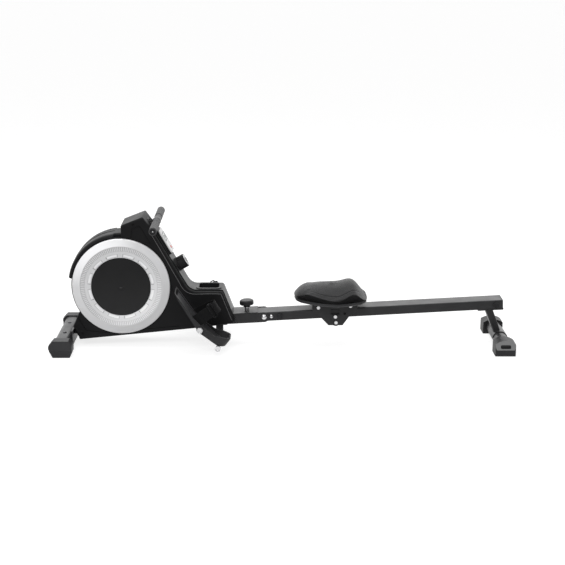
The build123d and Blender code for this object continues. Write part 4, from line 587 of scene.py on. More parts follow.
def finish(look):
    """The finish of that look, made the first time that it is asked for."""
    name = look + "_finish"
    if name not in bpy.data.materials:
        colours = settings("colours")
        panel, ring = colours.panel, colours.ring
        maker, *values = {
            "satin_paint": (painted_steel, colours.paint),
            "housing_plastic": (moulded_plastic, colours.housing, 0.5, 1.1, 0.12, 2),
            "panel_plastic": (moulded_plastic, panel, 0.42, 0.9, 0.2, 2.5),
            # Painted light on the caps' leaning outer faces
            "cap_plate_plastic": (cap_with_painted_light, lighter(panel, 2.0)),
            "foot_plastic": (moulded_plastic, lighter(panel, 2.6), 0.46, 1.0, 0.15),
            "knob_plastic": (moulded_plastic, lighter(panel, 1.3), 0.36, 0.8, 0.16),
            "cap_plastic": (moulded_plastic, colours.cap, 0.34, 1.5, 0.25),
            "pulley_plastic": (moulded_plastic, lighter(panel, 2), 0.5, 1.2),
            "silver_lacquer": (silver_lacquer, ring),
            # The rings' lacquer with painted light; its last number is the share of painted shade in the tick
            # band
            "disc_lacquer": (disc_lacquer, ring, 0.75),
            # Painted highlight: the raised ticks take a paler copy of the rings' lacquer
            "tick_lacquer": (disc_lacquer, lighter(ring, 1.18)),
            # Painted highlight: the window floors take a paler copy of the rings' lacquer
            "window_lacquer": (disc_lacquer, lighter(ring, 1.32)),
            # Painted shade: grey of the bars at the windows' ends
            "window_edge_grey": (moulded_plastic, (0.22, 0.22, 0.225), 0.4, 0.8),
            "console_white": (moulded_plastic, colours.console, 0.32, 1.2, 0.3),
            "key_red": (moulded_plastic, colours.button, 0.35, 1.0, 0.5),
            "display": (liquid_crystal, (0.30, 0.33, 0.31)),
            "display_ink": (moulded_plastic, (0.03, 0.035, 0.033), 0.3, 0.9),
            "zinc_plate": (plated_steel, colours.zinc),
            "black_oxide": (plated_steel, (0.06, 0.06, 0.063)),
            "turned_iron": (cast_iron, (0.16, 0.16, 0.165)),
            # Black of the seam between the housing's halves, and painted shade for its grooves and screw
            # wells
            "seam_black": (soft_rubber, (0.002, 0.002, 0.002)),
            # Painted highlight: pale grey of the beads along the shoulders
            "bead_grey": (moulded_plastic, (0.10, 0.10, 0.102), 0.3, 0.9, 0.4),
            "matt_rubber": (soft_rubber, (0.018, 0.018, 0.019)),
            "grip_foam": (grip_foam, colours.foam),
            "seat_vinyl": (seat_vinyl, colours.vinyl),
            "flat_webbing": (woven_webbing, colours.webbing, False),
            "band_webbing": (woven_webbing, colours.webbing, True),
        }[look]
        maker(name, *values)
    return bpy.data.materials[name]


CAD_CREASE = radians(32)
CREASE = radians(40)
PIPE_STEPS = 8


def wrap(mesh, look, crease):
    """Gives a mesh its finish, smooth over its curves and crisp at its edges."""
    mesh.materials.clear()
    mesh.materials.append(finish(look))
    mesh.shade_smooth()
    mesh.set_sharp_from_angle(angle=crease)


def dress(look, *names):
    """Gives CAD pieces a finish."""
    for name in names:
        wrap(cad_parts[name].data, look, CAD_CREASE)


class Shape:
    """Points and faces gathered from simple closed forms."""

    def __init__(self):
        self.points = []
        self.faces = []

    def loft(self, rings, closed=False):
        """Joins rings of as many points by a skin: round to the first ring, or capped at both ends."""
        first = len(self.points)
        size = len(rings[0])
        for ring in rings:
            self.points.extend(ring)
        for row in range(len(rings) if closed else len(rings) - 1):
            here = first + row * size
            there = first + (row + 1) % len(rings) * size
            for step in range(size):
                after = (step + 1) % size
                self.faces.append((here + step, here + after, there + after, there + step))
        if not closed:
            last = len(self.points) - size
            self.faces.append(tuple(first + step for step in reversed(range(size))))
            self.faces.append(tuple(last + step for step in range(size)))

    def bar(self, centre, along, side, up, length, width, height, taper=0.0):
        """A small block that stands on its centre, with its top drawn in by taper."""
        rings = []
        for level, inset in ((0, 0), (1, taper)):
            long = along * (length / 2 - inset)
            wide = side * (width / 2 - inset)
            top = centre + up * (height * level)
            rings.append([top - long - wide, top + long - wide, top + long + wide, top - long + wide])
        self.loft(rings)

    def turned(self, centre, axis, profile, steps):
        """Turns a profile of (radius, height) pairs, a closed loop, about an axis."""
        side = axis.orthogonal().normalized()
        other = axis.cross(side)
        rings = []
        for turn in spread(0, 2 * pi, steps)[:-1]:
            out = side * cos(turn) + other * sin(turn)
            rings.append([centre + out * radius + axis * height for radius, height in profile])
        self.loft(rings, closed=True)

    def pipe(self, line, radius, closed=False):
        """A round pipe along a line that doesn't double back."""
        rings = []
        for place, point in enumerate(line):
            ahead = (point_at(line, place + 1, closed) - point_at(line, place - 1, closed)).normalized()
            side = ahead.cross(UP).normalized()
            other = side.cross(ahead)
            turns = spread(0, 2 * pi, PIPE_STEPS)[:-1]
            rings.append([point + (side * cos(turn) + other * sin(turn)) * radius for turn in turns])
        self.loft(rings, closed)

    def add(self, name, look, body=None, slot=None, crease=CREASE):
        """Makes the piece, which rides on the body."""
        mesh = bpy.data.meshes.new(name)
        mesh.from_pydata([tuple(point) for point in self.points], [], self.faces)
        mesh.validate()
        wrap(mesh, look, crease)
        piece = bpy.data.objects.new(name, mesh)
        bpy.context.scene.collection.objects.link(piece)
        if body:
            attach(piece, body)
        return piece


def point_at(line, place, closed):
    """The line's point at a place: round again on a closed line, held at the ends of an open one."""
    return line[place % len(line) if closed else min(max(place, 0), len(line) - 1)]


def smooth_line(points, steps, closed=False):
    """Points along a smooth curve through the given ones, steps to each span."""
    line = []
    for span in range(len(points) if closed else len(points) - 1):
        before, here, after, beyond = (point_at(points, span + shift, closed) for shift in (-1, 0, 1, 2))
        for step in range(steps):
            t = step / steps
            line.append(
                (here * 2 + (after - before) * t + (before * 2 - here * 5 + after * 4 - beyond) * t**2
                 + (here * 3 - before - after * 3 + beyond) * t**3) / 2
            )
    return line if closed else line + [points[-1]]


def runs_along(line):
    """How far along a line each of its points lies."""
    runs = [0.0]
    for here, after in zip(line, line[1:]):
        runs.append(runs[-1] + (after - here).length)
    return runs


def place_along(line, runs, run):
    """The point and the direction of a line where it has run so far."""
    span = next(span for span in range(len(line) - 1) if run <= runs[span + 1])
    here, after = line[span], line[span + 1]
    return here.lerp(after, (run - runs[span]) / (runs[span + 1] - runs[span])), (after - here).normalized()


def evenly(line, count):
    """As many points as count, spaced evenly along a closed line."""
    line = line + line[:1]
    runs = runs_along(line)
    return [place_along(line, runs, runs[-1] * step / count)[0] for step in range(count)]


# Section of a woven band, in shares of its width and thickness, and the rise of its middle
BAND_SECTION = (
    (-0.5, -0.25), (-0.5, 0.25), (-0.485, 0.5), (-0.25, 0.5), (0, 0.5), (0.25, 0.5), (0.485, 0.5),
    (0.5, 0.25), (0.5, -0.25), (0.485, -0.5), (0, -0.5), (-0.485, -0.5),
)
BAND_CROWN = 0.12 * MM


def band(name, line, normals, across, width, thickness, body=None, look="band_webbing"):
    """A flat woven band laid along a line: rounded edges, a raised middle and its run kept as a map."""
    shape = Shape()
    rings = []
    for point, normal in zip(line, normals):
        ring = []
        for side, rise in BAND_SECTION:
            crown = BAND_CROWN * (1 - (2 * side) ** 2) if rise > 0 else 0
            ring.append(point + across * (width * side) + normal * (thickness * rise + crown))
        rings.append(ring)
    shape.loft(rings)
    piece = shape.add(name, look, body, "webbing")
    runs = runs_along(line)
    layer = piece.data.uv_layers.new(name="band")
    for loop in piece.data.loops:
        row, step = divmod(loop.vertex_index, len(BAND_SECTION))
        layer.data[loop.index].uv = (runs[row], width * BAND_SECTION[step][0])
    return piece


# Cushion pattern, in millimetres: half of its plan, and its height along the middle
CUSHION_PLAN = [
    (49, 0), (54, 40), (72, 69), (107, 97), (160, 126), (224, 140), (280, 124), (325, 98), (347, 62),
    (352, 0),
]
CUSHION_SIDE = [
    (45, 202), (56, 228), (88, 246), (112, 252), (154, 257), (201, 259), (236, 262), (276, 271), (297, 266),
    (316, 247), (340, 216), (356, 198),
]
CUSHION_STEPS = 128
CUSHION_MIDDLE = Vector((212 * MM, 0, 0))
PATTERN_INSET = 3 * MM
# Its crown from side to side: an arc that falls by the droop at the reach
CROWN_REACH = 150 * MM
CROWN_DROOP = 50 * MM
CROWN_RADIUS = (CROWN_REACH**2 + CROWN_DROOP**2) / (2 * CROWN_DROOP)
# Its front corners, rounded down in full at the narrow end and no more from there on
CORNER_FULL = 52 * MM
CORNER_END = 104 * MM
CORNER_DROP = 0.8
CORNER_POWER = 14
CORNER_LEFT = 4 * MM
RIM_LEAST = 1.5 * MM
# Its walls, drawn in between the rim and the foot
WALL_ROWS = 6
WALL_DRAW = 3.5 * MM
WALL_TUCK = 0.12
FOOT_SHARES = (0.8, 0.55, 0.3, 0.1)
# The channel sewn into its top, which starts behind the narrow front
CHANNEL_RING = 0.83
CHANNEL_WIDTH = 0.02
CHANNEL_FROM = 100 * MM
CHANNEL_FULL = 160 * MM
TOP_SHARES = (
    0.06, 0.14, 0.22, 0.30, 0.38, 0.46, 0.54, 0.61, 0.67, 0.73, 0.78, CHANNEL_RING - CHANNEL_WIDTH,
    CHANNEL_RING - CHANNEL_WIDTH / 2, CHANNEL_RING, CHANNEL_RING + CHANNEL_WIDTH / 2,
    CHANNEL_RING + CHANNEL_WIDTH, 0.89, 0.93, 0.965, 1.0,
)
# The air that settles its cover
COVER_CLOTH = {
    "quality": 6, "mass": 0.3, "tension_stiffness": 25, "compression_stiffness": 25, "shear_stiffness": 12,
    "bending_stiffness": 1.5, "use_pressure": True,
}
AIR_MOMENTS = 20


def ridge_height(ridge, x):
    """Height of the seat's side line over x."""
    for here, after in zip(ridge, ridge[1:]):
        if x <= after.x:
            return here.z + (after.z - here.z) * max(0.0, (x - here.x) / (after.x - here.x))
    return ridge[-1].z


def cushion_height(point, ridge):
    """Height of the seat's top over a point: its side line, less the droop of its crown."""
    droop = CROWN_RADIUS - sqrt(CROWN_RADIUS**2 - point.y**2)
    return ridge_height(ridge, point.x) - droop - PATTERN_INSET


def corner_drop(point, ridge):
    """The height that the rim can lose at a point of it, towards the front corners."""
    near = share_between(point.x, CORNER_END, CORNER_FULL)
    return (cushion_height(point, ridge) - SEAT_FOOT - CORNER_LEFT) * near


def cushion_pattern():
    """Rings of the cushion's cover: from its top's middle, over the edge and down to its foot's middle."""
    near = [Vector((x, -y, 0)) * MM for x, y in CUSHION_PLAN]
    far = [Vector((x, y, 0)) * MM for x, y in CUSHION_PLAN[-2:0:-1]]
    outline = evenly(smooth_line(near + far, 12, closed=True), CUSHION_STEPS)
    edge = [point - (point - CUSHION_MIDDLE).normalized() * PATTERN_INSET for point in outline]
    ridge = smooth_line(upright(CUSHION_SIDE), 6)
    drops = [corner_drop(point, ridge) for point in edge]
    rings = []
    for share in TOP_SHARES:
        ring = [CUSHION_MIDDLE.lerp(point, share) for point in edge]
        for place, drop in zip(ring, drops):
            height = cushion_height(place, ridge) - drop * share**CORNER_POWER * CORNER_DROP
            place.z = max(height, SEAT_FOOT + RIM_LEAST)
        rings.append(ring)
    rim = rings[-1]
    for share in spread(0, 1, WALL_ROWS)[1:]:
        ring = []
        for point in rim:
            wall = point.z - SEAT_FOOT
            inward = (CUSHION_MIDDLE - point).to_2d().to_3d().normalized()
            draw = min(WALL_DRAW, wall / 8) * sin(pi * share) + wall * WALL_TUCK * share
            ring.append(Vector((point.x, point.y, point.z - wall * share)) + inward * draw)
        rings.append(ring)
    middle = CUSHION_MIDDLE.to_2d()
    for share in FOOT_SHARES:
        rings.append([Vector((*middle.lerp(point.to_2d(), share), SEAT_FOOT)) for point in rings[-1]])
    return rings


def settle_with_air(piece, pressure, limit, held):
    """Lets air act on a closed cover, keeps each point within limit of its pattern, and keeps the result."""
    group = piece.vertex_groups.new(name="held")
    group.add(held, 1.0, "REPLACE")
    pattern = [vertex.co.copy() for vertex in piece.data.vertices]
    modifier = piece.modifiers.new("air", "CLOTH")
    cloth = modifier.settings
    for name, value in COVER_CLOTH.items():
        setattr(cloth, name, value)
    cloth.uniform_pressure_force = pressure
    cloth.effector_weights.gravity = 0
    cloth.vertex_group_mass = group.name
    scene = bpy.context.scene
    for moment in range(1, AIR_MOMENTS + 1):
        scene.frame_set(moment)
    settled = piece.evaluated_get(bpy.context.evaluated_depsgraph_get()).to_mesh()
    moves = [after.co - before for after, before in zip(settled.vertices, pattern)]
    piece.modifiers.remove(modifier)
    for vertex, before, move in zip(piece.data.vertices, pattern, moves):
        if move.length > limit:
            move = move * (limit / move.length)
        vertex.co = before + move
    scene.frame_set(1)


def sew_channel(piece, depth):
    """Presses a sewn line into the top, along one ring, fading out towards the narrow front."""
    for row, share in enumerate(TOP_SHARES):
        near = 1 - abs(share - CHANNEL_RING) / CHANNEL_WIDTH
        if near > 0:
            for point in piece.data.vertices[row * CUSHION_STEPS:(row + 1) * CUSHION_STEPS]:
                point.co.z -= depth * near * share_between(point.co.x, CHANNEL_FROM, CHANNEL_FULL)


class ROWER_OT_seat_cushion(bpy.types.Operator):
    """Sew the seat's cushion: crowned top, drawn-in sides, a channel in its top and a welt round its edge"""

    bl_idname = "rower.seat_cushion"
    bl_label = "Seat cushion"

    def execute(self, context):
        soft = settings("soft")
        shape = Shape()
        shape.loft(cushion_pattern())
        cover = shape.add("seat_cover", "seat_vinyl", None, "upholstery", pi)
        foot = (len(TOP_SHARES) + WALL_ROWS - 1) * CUSHION_STEPS
        held = list(range(foot, len(shape.points)))
        settle_with_air(cover, soft.cushion_pressure, soft.cushion_swell, held)
        sew_channel(cover, soft.channel_depth)
        rim = (len(TOP_SHARES) - 1) * CUSHION_STEPS
        edge = [point.co.copy() for point in cover.data.vertices[rim:rim + CUSHION_STEPS]]
        smooth = cover.modifiers.new("smooth", "SUBSURF")
        smooth.levels = 1
        smooth.render_levels = 1
        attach(cover, "seat")
        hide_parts("seat_cushion")
        welt = Shape()
        welt.pipe(edge, soft.welt_radius, closed=True)
        welt.add("seat_welt", "seat_vinyl", "seat", "upholstery")
        return {"FINISHED"}


class ROWER_OT_seat_frame(bpy.types.Operator):
    """Finish the seat's base, carriage and rollers"""

    bl_idname = "rower.seat_frame"
    bl_label = "Seat base and carriage"

    def execute(self, context):
        dress("foot_plastic", "seat_base")
        dress("satin_paint", "seat_carriage")
        dress("matt_rubber", "upper_roller_front", "upper_roller_rear", "lower_roller")
        dress("zinc_plate", "seat_bolts")
        return {"FINISHED"}


# Pull strap: how far from the middles of the guide roller and the reel it runs
GUIDE_TURN = 13.3 * MM
REEL_TURN = 41.3 * MM
DRAW_SPANS = 28
TURN_SPANS = 14
RUN_SPANS = 10


class ROWER_OT_pull_strap(bpy.types.Operator):
    """Lay the strap from the handle over the guide roller and down to the reel"""

    bl_idname = "rower.pull_strap"
    bl_label = "Pull strap"

    def execute(self, context):
        soft = settings("soft")
        size = (soft.pull_strap_width, soft.pull_strap_thickness)
        top = GUIDE_CENTRE + UP * GUIDE_TURN
        clip = Vector((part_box("strap_clip")[0].x, top.y, top.z))
        line = [top.lerp(clip, share) for share in spread(0, 1, DRAW_SPANS)]
        draw = band("pull_strap_draw", line, [UP] * len(line), ACROSS, *size, look="flat_webbing")
        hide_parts("pull_strap")
        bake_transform(draw)

        # The direction, from both centres, of the places where the straight run down touches roller and reel
        span = REEL_CENTRE - GUIDE_CENTRE
        lean = (GUIDE_TURN - REEL_TURN) / span.length
        square = sqrt(1 - lean * lean)
        leave = Vector((lean * span.x + square * span.z, 0, lean * span.z - square * span.x)).normalized()
        normals = [ray(turn) for turn in spread(pi / 2, atan2(leave.z, leave.x) % (2 * pi), TURN_SPANS)]
        line = [GUIDE_CENTRE + normal * GUIDE_TURN for normal in normals]
        away, foot = line[-1], REEL_CENTRE + leave * REEL_TURN
        line += [away.lerp(foot, share) for share in spread(0, 1, RUN_SPANS)[1:]]
        normals += [leave] * RUN_SPANS
        run = band("pull_strap_run", line, normals, ACROSS, *size, "frame")
        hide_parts("pull_strap")
        return {"FINISHED"}


# Foot straps: an arch that leans back over the foot, its feet in the pedal's rim, and a tail past the buckle
STRAP_FOOT = Vector((-342 * MM, 0, 149 * MM))
STRAP_LEAN = radians(32)
STRAP_RISE = ray(STRAP_LEAN)
STRAP_WIDE = ray(STRAP_LEAN - pi / 2)
ARCH_HALF = 47.5 * MM
ARCH_HEIGHT = 97.5 * MM
ARCH_SPANS = 40
LEG_DEPTH = 9 * MM
TAIL_FROM = 0.04 * pi
TAIL_TO = 0.265 * pi
TAIL_SPANS = 13
TAIL_GAP = 0.3 * MM
TAIL_WIDTH = 0.94
TAIL_THICKNESS = 0.8


def foot_arch(side, middle, turns, lift):
    """Points and outward directions along a foot strap, at some turns of its arch."""
    line, normals = [], []
    for turn in turns:
        out = ACROSS * (side * cos(turn))
        normal = (out / ARCH_HALF + STRAP_RISE * (sin(turn) / ARCH_HEIGHT)).normalized()
        place = STRAP_FOOT + ACROSS * middle + out * ARCH_HALF + STRAP_RISE * (ARCH_HEIGHT * sin(turn))
        line.append(place + normal * lift)
        normals.append(normal)
    return line, normals


class ROWER_OT_foot_straps(bpy.types.Operator):
    """Lay the bands over the foot plates, each with its loose end folded back at the buckle"""

    bl_idname = "rower.foot_straps"
    bl_label = "Foot straps"

    def execute(self, context):
        soft = settings("soft")
        width, thickness = soft.foot_strap_width, soft.foot_strap_thickness
        for name, side in SIDES.items():
            middle = middle_of("pedal_strap_" + name).y
            body = name + "_pedal"
            line, normals = foot_arch(side, middle, spread(0, pi, ARCH_SPANS), 0)
            drop = STRAP_RISE * LEG_DEPTH
            line = [line[0] - drop, line[0] - drop / 2, *line, line[-1] - drop / 2, line[-1] - drop]
            normals = [normals[0]] * 2 + normals + [normals[-1]] * 2
            arch = band("foot_strap_" + name, line, normals, STRAP_WIDE, width, thickness, body)
            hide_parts("pedal_strap_" + name)
            turns = spread(TAIL_FROM, TAIL_TO, TAIL_SPANS)
            line, normals = foot_arch(side, middle, turns, thickness + TAIL_GAP)
            size = (width * TAIL_WIDTH, thickness * TAIL_THICKNESS)
            band("foot_strap_tail_" + name, line, normals, STRAP_WIDE, *size, body)
        dress("black_oxide", "pedal_buckle_left", "pedal_buckle_right")
        return {"FINISHED"}


class ROWER_OT_frame(bpy.types.Operator):
    """Finish the painted steel tubes of the frame, its stabilizers and its rail"""

    bl_idname = "rower.frame"
    bl_label = "Frame and rail"

    def execute(self, context):
        dress("satin_paint", "main_frame", "front_stabilizer", "rail", "rear_strut", "rear_stabilizer")
        dress("foot_plastic", "front_end_caps", "rail_end_cap")
        # The rear caps' leaning outer faces carry painted light
        dress("cap_plate_plastic", "rear_end_caps")
        dress("matt_rubber", "seat_stops", "transport_wheel_left", "transport_wheel_right")
        dress("black_oxide", "frame_fasteners")
        dress("zinc_plate", "rail_bolts", "pivot_bolt", "lock_bush")
        return {"FINISHED"}


# Housing, in millimetres: pale beads of painted highlight along its shoulders, black lines of painted shade
# in the grooves on its sides, and black discs of painted shade in the screw wells at (x, y, z)
HOUSING_SIDE = 70 * MM
HIGHLIGHT_BEAD_LINE = [
    (-526, 476), (-500, 429), (-470, 374), (-440, 318), (-417, 276), (-404, 252), (-388, 236), (-366, 227),
    (-340, 226), (-300, 227), (-258, 227), (-249, 226), (-245.5, 220), (-225, 167.5), (-204.5, 115),
]
GROOVE_SHADE_LINES = (
    [(-608, 459), (-603, 497), (-573, 509), (-561, 492), (-530, 436)],
    [(-483, 360), (-440, 234), (-415, 209), (-355, 184)],
    [(-835, 130), (-800, 70), (-720, 62), (-420, 90)],
)
HIGHLIGHT_BEAD_RADIUS = 1.1 * MM
GROOVE_SHADE_RADIUS = 1.0 * MM
WELLS = ((-815.5, 70, 58), (-240, 70, 203), (-598, 70, 515), (-846, 52, 325))
WELL_RADIUS = 5.2 * MM
WELL_CORE = 0.1 * MM
WELL_HEIGHT = 0.2 * MM
WELL_SINK = 2.4 * MM
# The drum's front: rounded shoulders, as (radius, half width) in millimetres, and the seam between them
SHOULDER_SECTION = (
    (199, 69), (202.2, 70.2), (206, 69.4), (209.6, 67.4), (212.6, 64.2), (214.9, 60), (216.1, 55),
    (216.2, 44), (213, 44), (199, 60),
)
SHOULDER_CREASE = radians(50)
SEAM_RADIUS = 216 * MM
SEAM_TURNS = spread(radians(97), radians(171), 40)
SEAM_THICKNESS = 2.6 * MM


class ROWER_OT_housing(bpy.types.Operator):
    """Finish the flywheel housing and its panel, and draw their seams, pale beads of painted highlight, and
    black lines and discs of painted shade in the grooves and screw wells
    """

    bl_idname = "rower.housing"
    bl_label = "Flywheel housing"

    def execute(self, context):
        dress("housing_plastic", "left_shroud", "right_shroud")
        dress("panel_plastic", "face_panel")
        highlight_beads, groove_shades, well_shades, shoulders, seam = (Shape() for _ in range(5))
        well = (
            (WELL_RADIUS, -WELL_SINK), (WELL_RADIUS, WELL_HEIGHT),
            (WELL_CORE, WELL_HEIGHT), (WELL_CORE, -WELL_SINK),
        )
        for side in SIDES.values():
            wall = side * HOUSING_SIDE
            # Beads of painted highlight along the shoulders
            highlight_beads.pipe(smooth_line(upright(HIGHLIGHT_BEAD_LINE, wall), 4), HIGHLIGHT_BEAD_RADIUS)
            # Black lines of painted shade in the grooves on the sides
            for points in GROOVE_SHADE_LINES:
                line = upright(points, wall)
                for here, after in zip(line, line[1:]):
                    groove_shades.pipe([here, after], GROOVE_SHADE_RADIUS)
            # Black discs of painted shade in the screw wells
            for x, y, z in WELLS:
                well_shades.turned(Vector((x, side * y, z)) * MM, ACROSS * side, well, 24)
            rings = []
            for turn in SEAM_TURNS[::-side]:  # the two sides mirror each other, so they run opposite ways
                rings.append([
                    DISC_CENTRE + (ray(turn) * radius + ACROSS * (side * wide)) * MM
                    for radius, wide in SHOULDER_SECTION
                ])
            shoulders.loft(rings)
        seam.pipe([DISC_CENTRE + ray(turn) * SEAM_RADIUS for turn in SEAM_TURNS], SEAM_THICKNESS / 2)
        # Pale beads of painted highlight; black grooves and wells of painted shade; the dark seam between the
        # halves
        highlight_beads.add("housing_highlight_beads", "bead_grey", "frame", "shroud_plastic")
        groove_shades.add("housing_groove_shades", "seam_black", "frame", "shroud_plastic")
        well_shades.add("screw_well_shades", "seam_black", "frame", "shroud_plastic")
        shoulders.add("shell_shoulders", "housing_plastic", "frame", "shroud_plastic", SHOULDER_CREASE)
        seam.add("shell_seam", "seam_black", "frame", "shroud_plastic")
        return {"FINISHED"}


# Windows of the disc rings: in each a floor that dips towards the cap, with a thin grey bar of painted shade
# at both ends
WINDOW_COUNT = 12
WINDOW_SPANS = 8
WINDOW_HALF = radians(9.6)
WINDOW_INNER = 123.4 * MM
WINDOW_OUTER = 134.4 * MM
WINDOW_DEEP = 3.4 * MM
WINDOW_SHALLOW = 0.4 * MM
WINDOW_SINK = 3.9 * MM
SHADE_BAR_TURN = radians(10.2)
SHADE_BAR_AT = 129 * MM
SHADE_BAR_LONG = 13 * MM
SHADE_BAR_WIDE = 1.5 * MM
SHADE_BAR_HIGH = 0.3 * MM


def round_discs(count, shift=0.0):
    """The side, the middle of the face and the turn of as many places round each disc."""
    for side in SIDES.values():
        for place in range(count):
            yield side, DISC_CENTRE + ACROSS * (side * DISC_FACE), 2 * pi * (place + shift) / count


class ROWER_OT_discs(bpy.types.Operator):
    """Finish the silver disc rings with painted light and shade, and their caps; floor their windows, lay
    grey bars of painted shade at their ends and raise the ticks round them
    """

    bl_idname = "rower.discs"
    bl_label = "Discs"

    def execute(self, context):
        dress("disc_lacquer", "disc_rings")
        dress("cap_plastic", "disc_caps")
        floors, end_shade_bars, ticks = (Shape() for _ in range(3))
        for side, face, middle in round_discs(WINDOW_COUNT, 0.5):
            out = ACROSS * side
            rings = []
            for turn in spread(middle - WINDOW_HALF, middle + WINDOW_HALF, WINDOW_SPANS):
                inner, outer = face + ray(turn) * WINDOW_INNER, face + ray(turn) * WINDOW_OUTER
                rings.append([
                    inner - out * WINDOW_SINK, outer - out * WINDOW_SINK,
                    outer - out * WINDOW_SHALLOW, inner - out * WINDOW_DEEP,
                ])
            floors.loft(rings[::side])
            # Painted shade: a thin grey bar at each end of the window, where its walls cast shade
            for turn in (middle - SHADE_BAR_TURN, middle + SHADE_BAR_TURN):
                way = ray(turn)
                foot = face + way * SHADE_BAR_AT - out * SHADE_BAR_HIGH
                end_shade_bars.bar(foot, way, way.cross(out), out, SHADE_BAR_LONG, SHADE_BAR_WIDE, 2 * SHADE_BAR_HIGH, SHADE_BAR_HIGH)
        length = TICK_OUTER - TICK_INNER
        for side, face, turn in round_discs(settings("trim").disc_ticks):
            out, way = ACROSS * side, ray(turn)
            foot = face + way * (TICK_INNER + length / 2) - out * TICK_HEIGHT
            ticks.bar(foot, way, way.cross(out), out, length, TICK_WIDTH, TICK_HEIGHT, TICK_TAPER)
        floors.add("window_floors", "window_lacquer", "frame", "ring_silver")
        # The bars of painted shade at the windows' ends
        end_shade_bars.add("window_end_shades", "window_edge_grey", "frame", "ring_silver")
        ticks.add("disc_ticks", "tick_lacquer", "frame", "ring_silver")
        return {"FINISHED"}


def on_slope(along, across, height):
    """A point on the sloping panel: along its fall, to the right, and out of it."""
    return SLOPE_TOP + SLOPE_RUN * along + ACROSS * across + SLOPE_OUT * height


# Console: display, key and marks, along the slope
FACE_HEIGHT = 19 * MM
DISPLAY_AT = 26 * MM
DISPLAY_LONG = 30 * MM
DISPLAY_WIDE = 52 * MM
FRAME_WIDTH = 2.4 * MM
FRAME_HEIGHT = 0.7 * MM
DIGIT_PLACES = (-1.5, -0.5, 0.5, 1.5)
DIGIT_LONG = 13 * MM
DIGIT_WIDE = 7 * MM
DIGIT_STROKE = 1.3 * MM
DIGIT_PITCH = 10.5 * MM
INK_HEIGHT = 0.12 * MM
KEY_AT = 76 * MM
KEY_RING = ((6.5 * MM, 0), (8.2 * MM, 0), (7.8 * MM, 0.5 * MM), (6.8 * MM, 0.5 * MM))


class ROWER_OT_console(bpy.types.Operator):
    """Finish the console: housing, white face, display with its zeros, and the red key in its ring"""

    bl_idname = "rower.console"
    bl_label = "Console"

    def execute(self, context):
        dress("knob_plastic", "console_housing")
        dress("console_white", "console_face")
        dress("display", "console_screen")
        dress("key_red", "console_button")
        border, ink, ring = (Shape() for _ in range(3))
        section = (FRAME_WIDTH, FRAME_HEIGHT, FRAME_HEIGHT / 2)
        for way in (-1, 1):
            middle = on_slope(DISPLAY_AT + way * (DISPLAY_LONG + FRAME_WIDTH) / 2, 0, FACE_HEIGHT)
            border.bar(middle, ACROSS, SLOPE_RUN, SLOPE_OUT, DISPLAY_WIDE + 2 * FRAME_WIDTH, *section)
            middle = on_slope(DISPLAY_AT, way * (DISPLAY_WIDE + FRAME_WIDTH) / 2, FACE_HEIGHT)
            border.bar(middle, SLOPE_RUN, ACROSS, SLOPE_OUT, DISPLAY_LONG, *section)
        for place in DIGIT_PLACES:
            for way in (-1, 1):
                middle = on_slope(DISPLAY_AT + way * DIGIT_LONG / 2, place * DIGIT_PITCH, FACE_HEIGHT)
                ink.bar(middle, ACROSS, SLOPE_RUN, SLOPE_OUT, DIGIT_WIDE, DIGIT_STROKE, INK_HEIGHT)
                middle = on_slope(DISPLAY_AT, place * DIGIT_PITCH + way * DIGIT_WIDE / 2, FACE_HEIGHT)
                ink.bar(middle, SLOPE_RUN, -ACROSS, SLOPE_OUT, DIGIT_LONG, DIGIT_STROKE, INK_HEIGHT)
        ring.turned(on_slope(KEY_AT, 0, FACE_HEIGHT), SLOPE_OUT, KEY_RING, 40)
        border.add("display_frame", "knob_plastic", "frame", "console_black")
        ink.add("display_zeros", "display_ink", "frame", "console_black")
        ring.add("key_ring", "silver_lacquer", "frame", "ring_silver")
        return {"FINISHED"}


# Tension knob: its dial ring and ticks, out of the slope; the tick at the upper end is longer
KNOB_AT = 154 * MM
KNOB_TOP = 44 * MM
DIAL_HEIGHT = 0.6 * MM
DIAL_OUTER = 24.5 * MM
DIAL_RING = ((16 * MM, 0), (24.5 * MM, 0), (24.2 * MM, DIAL_HEIGHT), (16.3 * MM, DIAL_HEIGHT))
DIAL_TICK = 4.5 * MM
DIAL_TICK_WIDTH = 1.1 * MM
DIAL_MARGIN = 1 * MM
MARK_LENGTH = 1.4


class ROWER_OT_knobs(bpy.types.Operator):
    """Finish the tension knob with its silver dial, and the rail's lock knob"""

    bl_idname = "rower.knobs"
    bl_label = "Knobs"

    def execute(self, context):
        dress("knob_plastic", "tension_knob", "lock_knob")
        dress("zinc_plate", "lock_pin")
        top = on_slope(KNOB_AT, 0, KNOB_TOP)
        dial, ticks = Shape(), Shape()
        dial.turned(top, SLOPE_OUT, DIAL_RING, 72)
        dial.add("knob_dial", "silver_lacquer", "knob", "ring_silver")
        count = settings("trim").knob_ticks
        for step in range(count):
            turn = 2 * pi * step / count
            way = SLOPE_RUN * cos(turn) + ACROSS * sin(turn)
            long = DIAL_TICK * (MARK_LENGTH if step == count // 2 else 1)
            middle = top + SLOPE_OUT * DIAL_HEIGHT + way * (DIAL_OUTER - DIAL_MARGIN - long / 2)
            ticks.bar(middle, way, way.cross(SLOPE_OUT), SLOPE_OUT, long, DIAL_TICK_WIDTH, INK_HEIGHT)
        ticks.add("knob_ticks", "display_ink", "knob", "console_black")
        return {"FINISHED"}


# Handle: rims at both ends of each grip, and a bright stud in each end
GRIP_INNER = 65 * MM
RIM_WIDTH = 3 * MM
GRIP_RIM = ((15.4 * MM, 0), (16.3 * MM, 0.4 * MM), (16.3 * MM, 2.6 * MM), (15.4 * MM, RIM_WIDTH))
STUD_RADIUS = 6.6 * MM
STUD_RISE = 2.4 * MM
STUD_SINK = 4.6 * MM
STUD_CORE = 0.2 * MM
STUD_BACK = -1 * MM


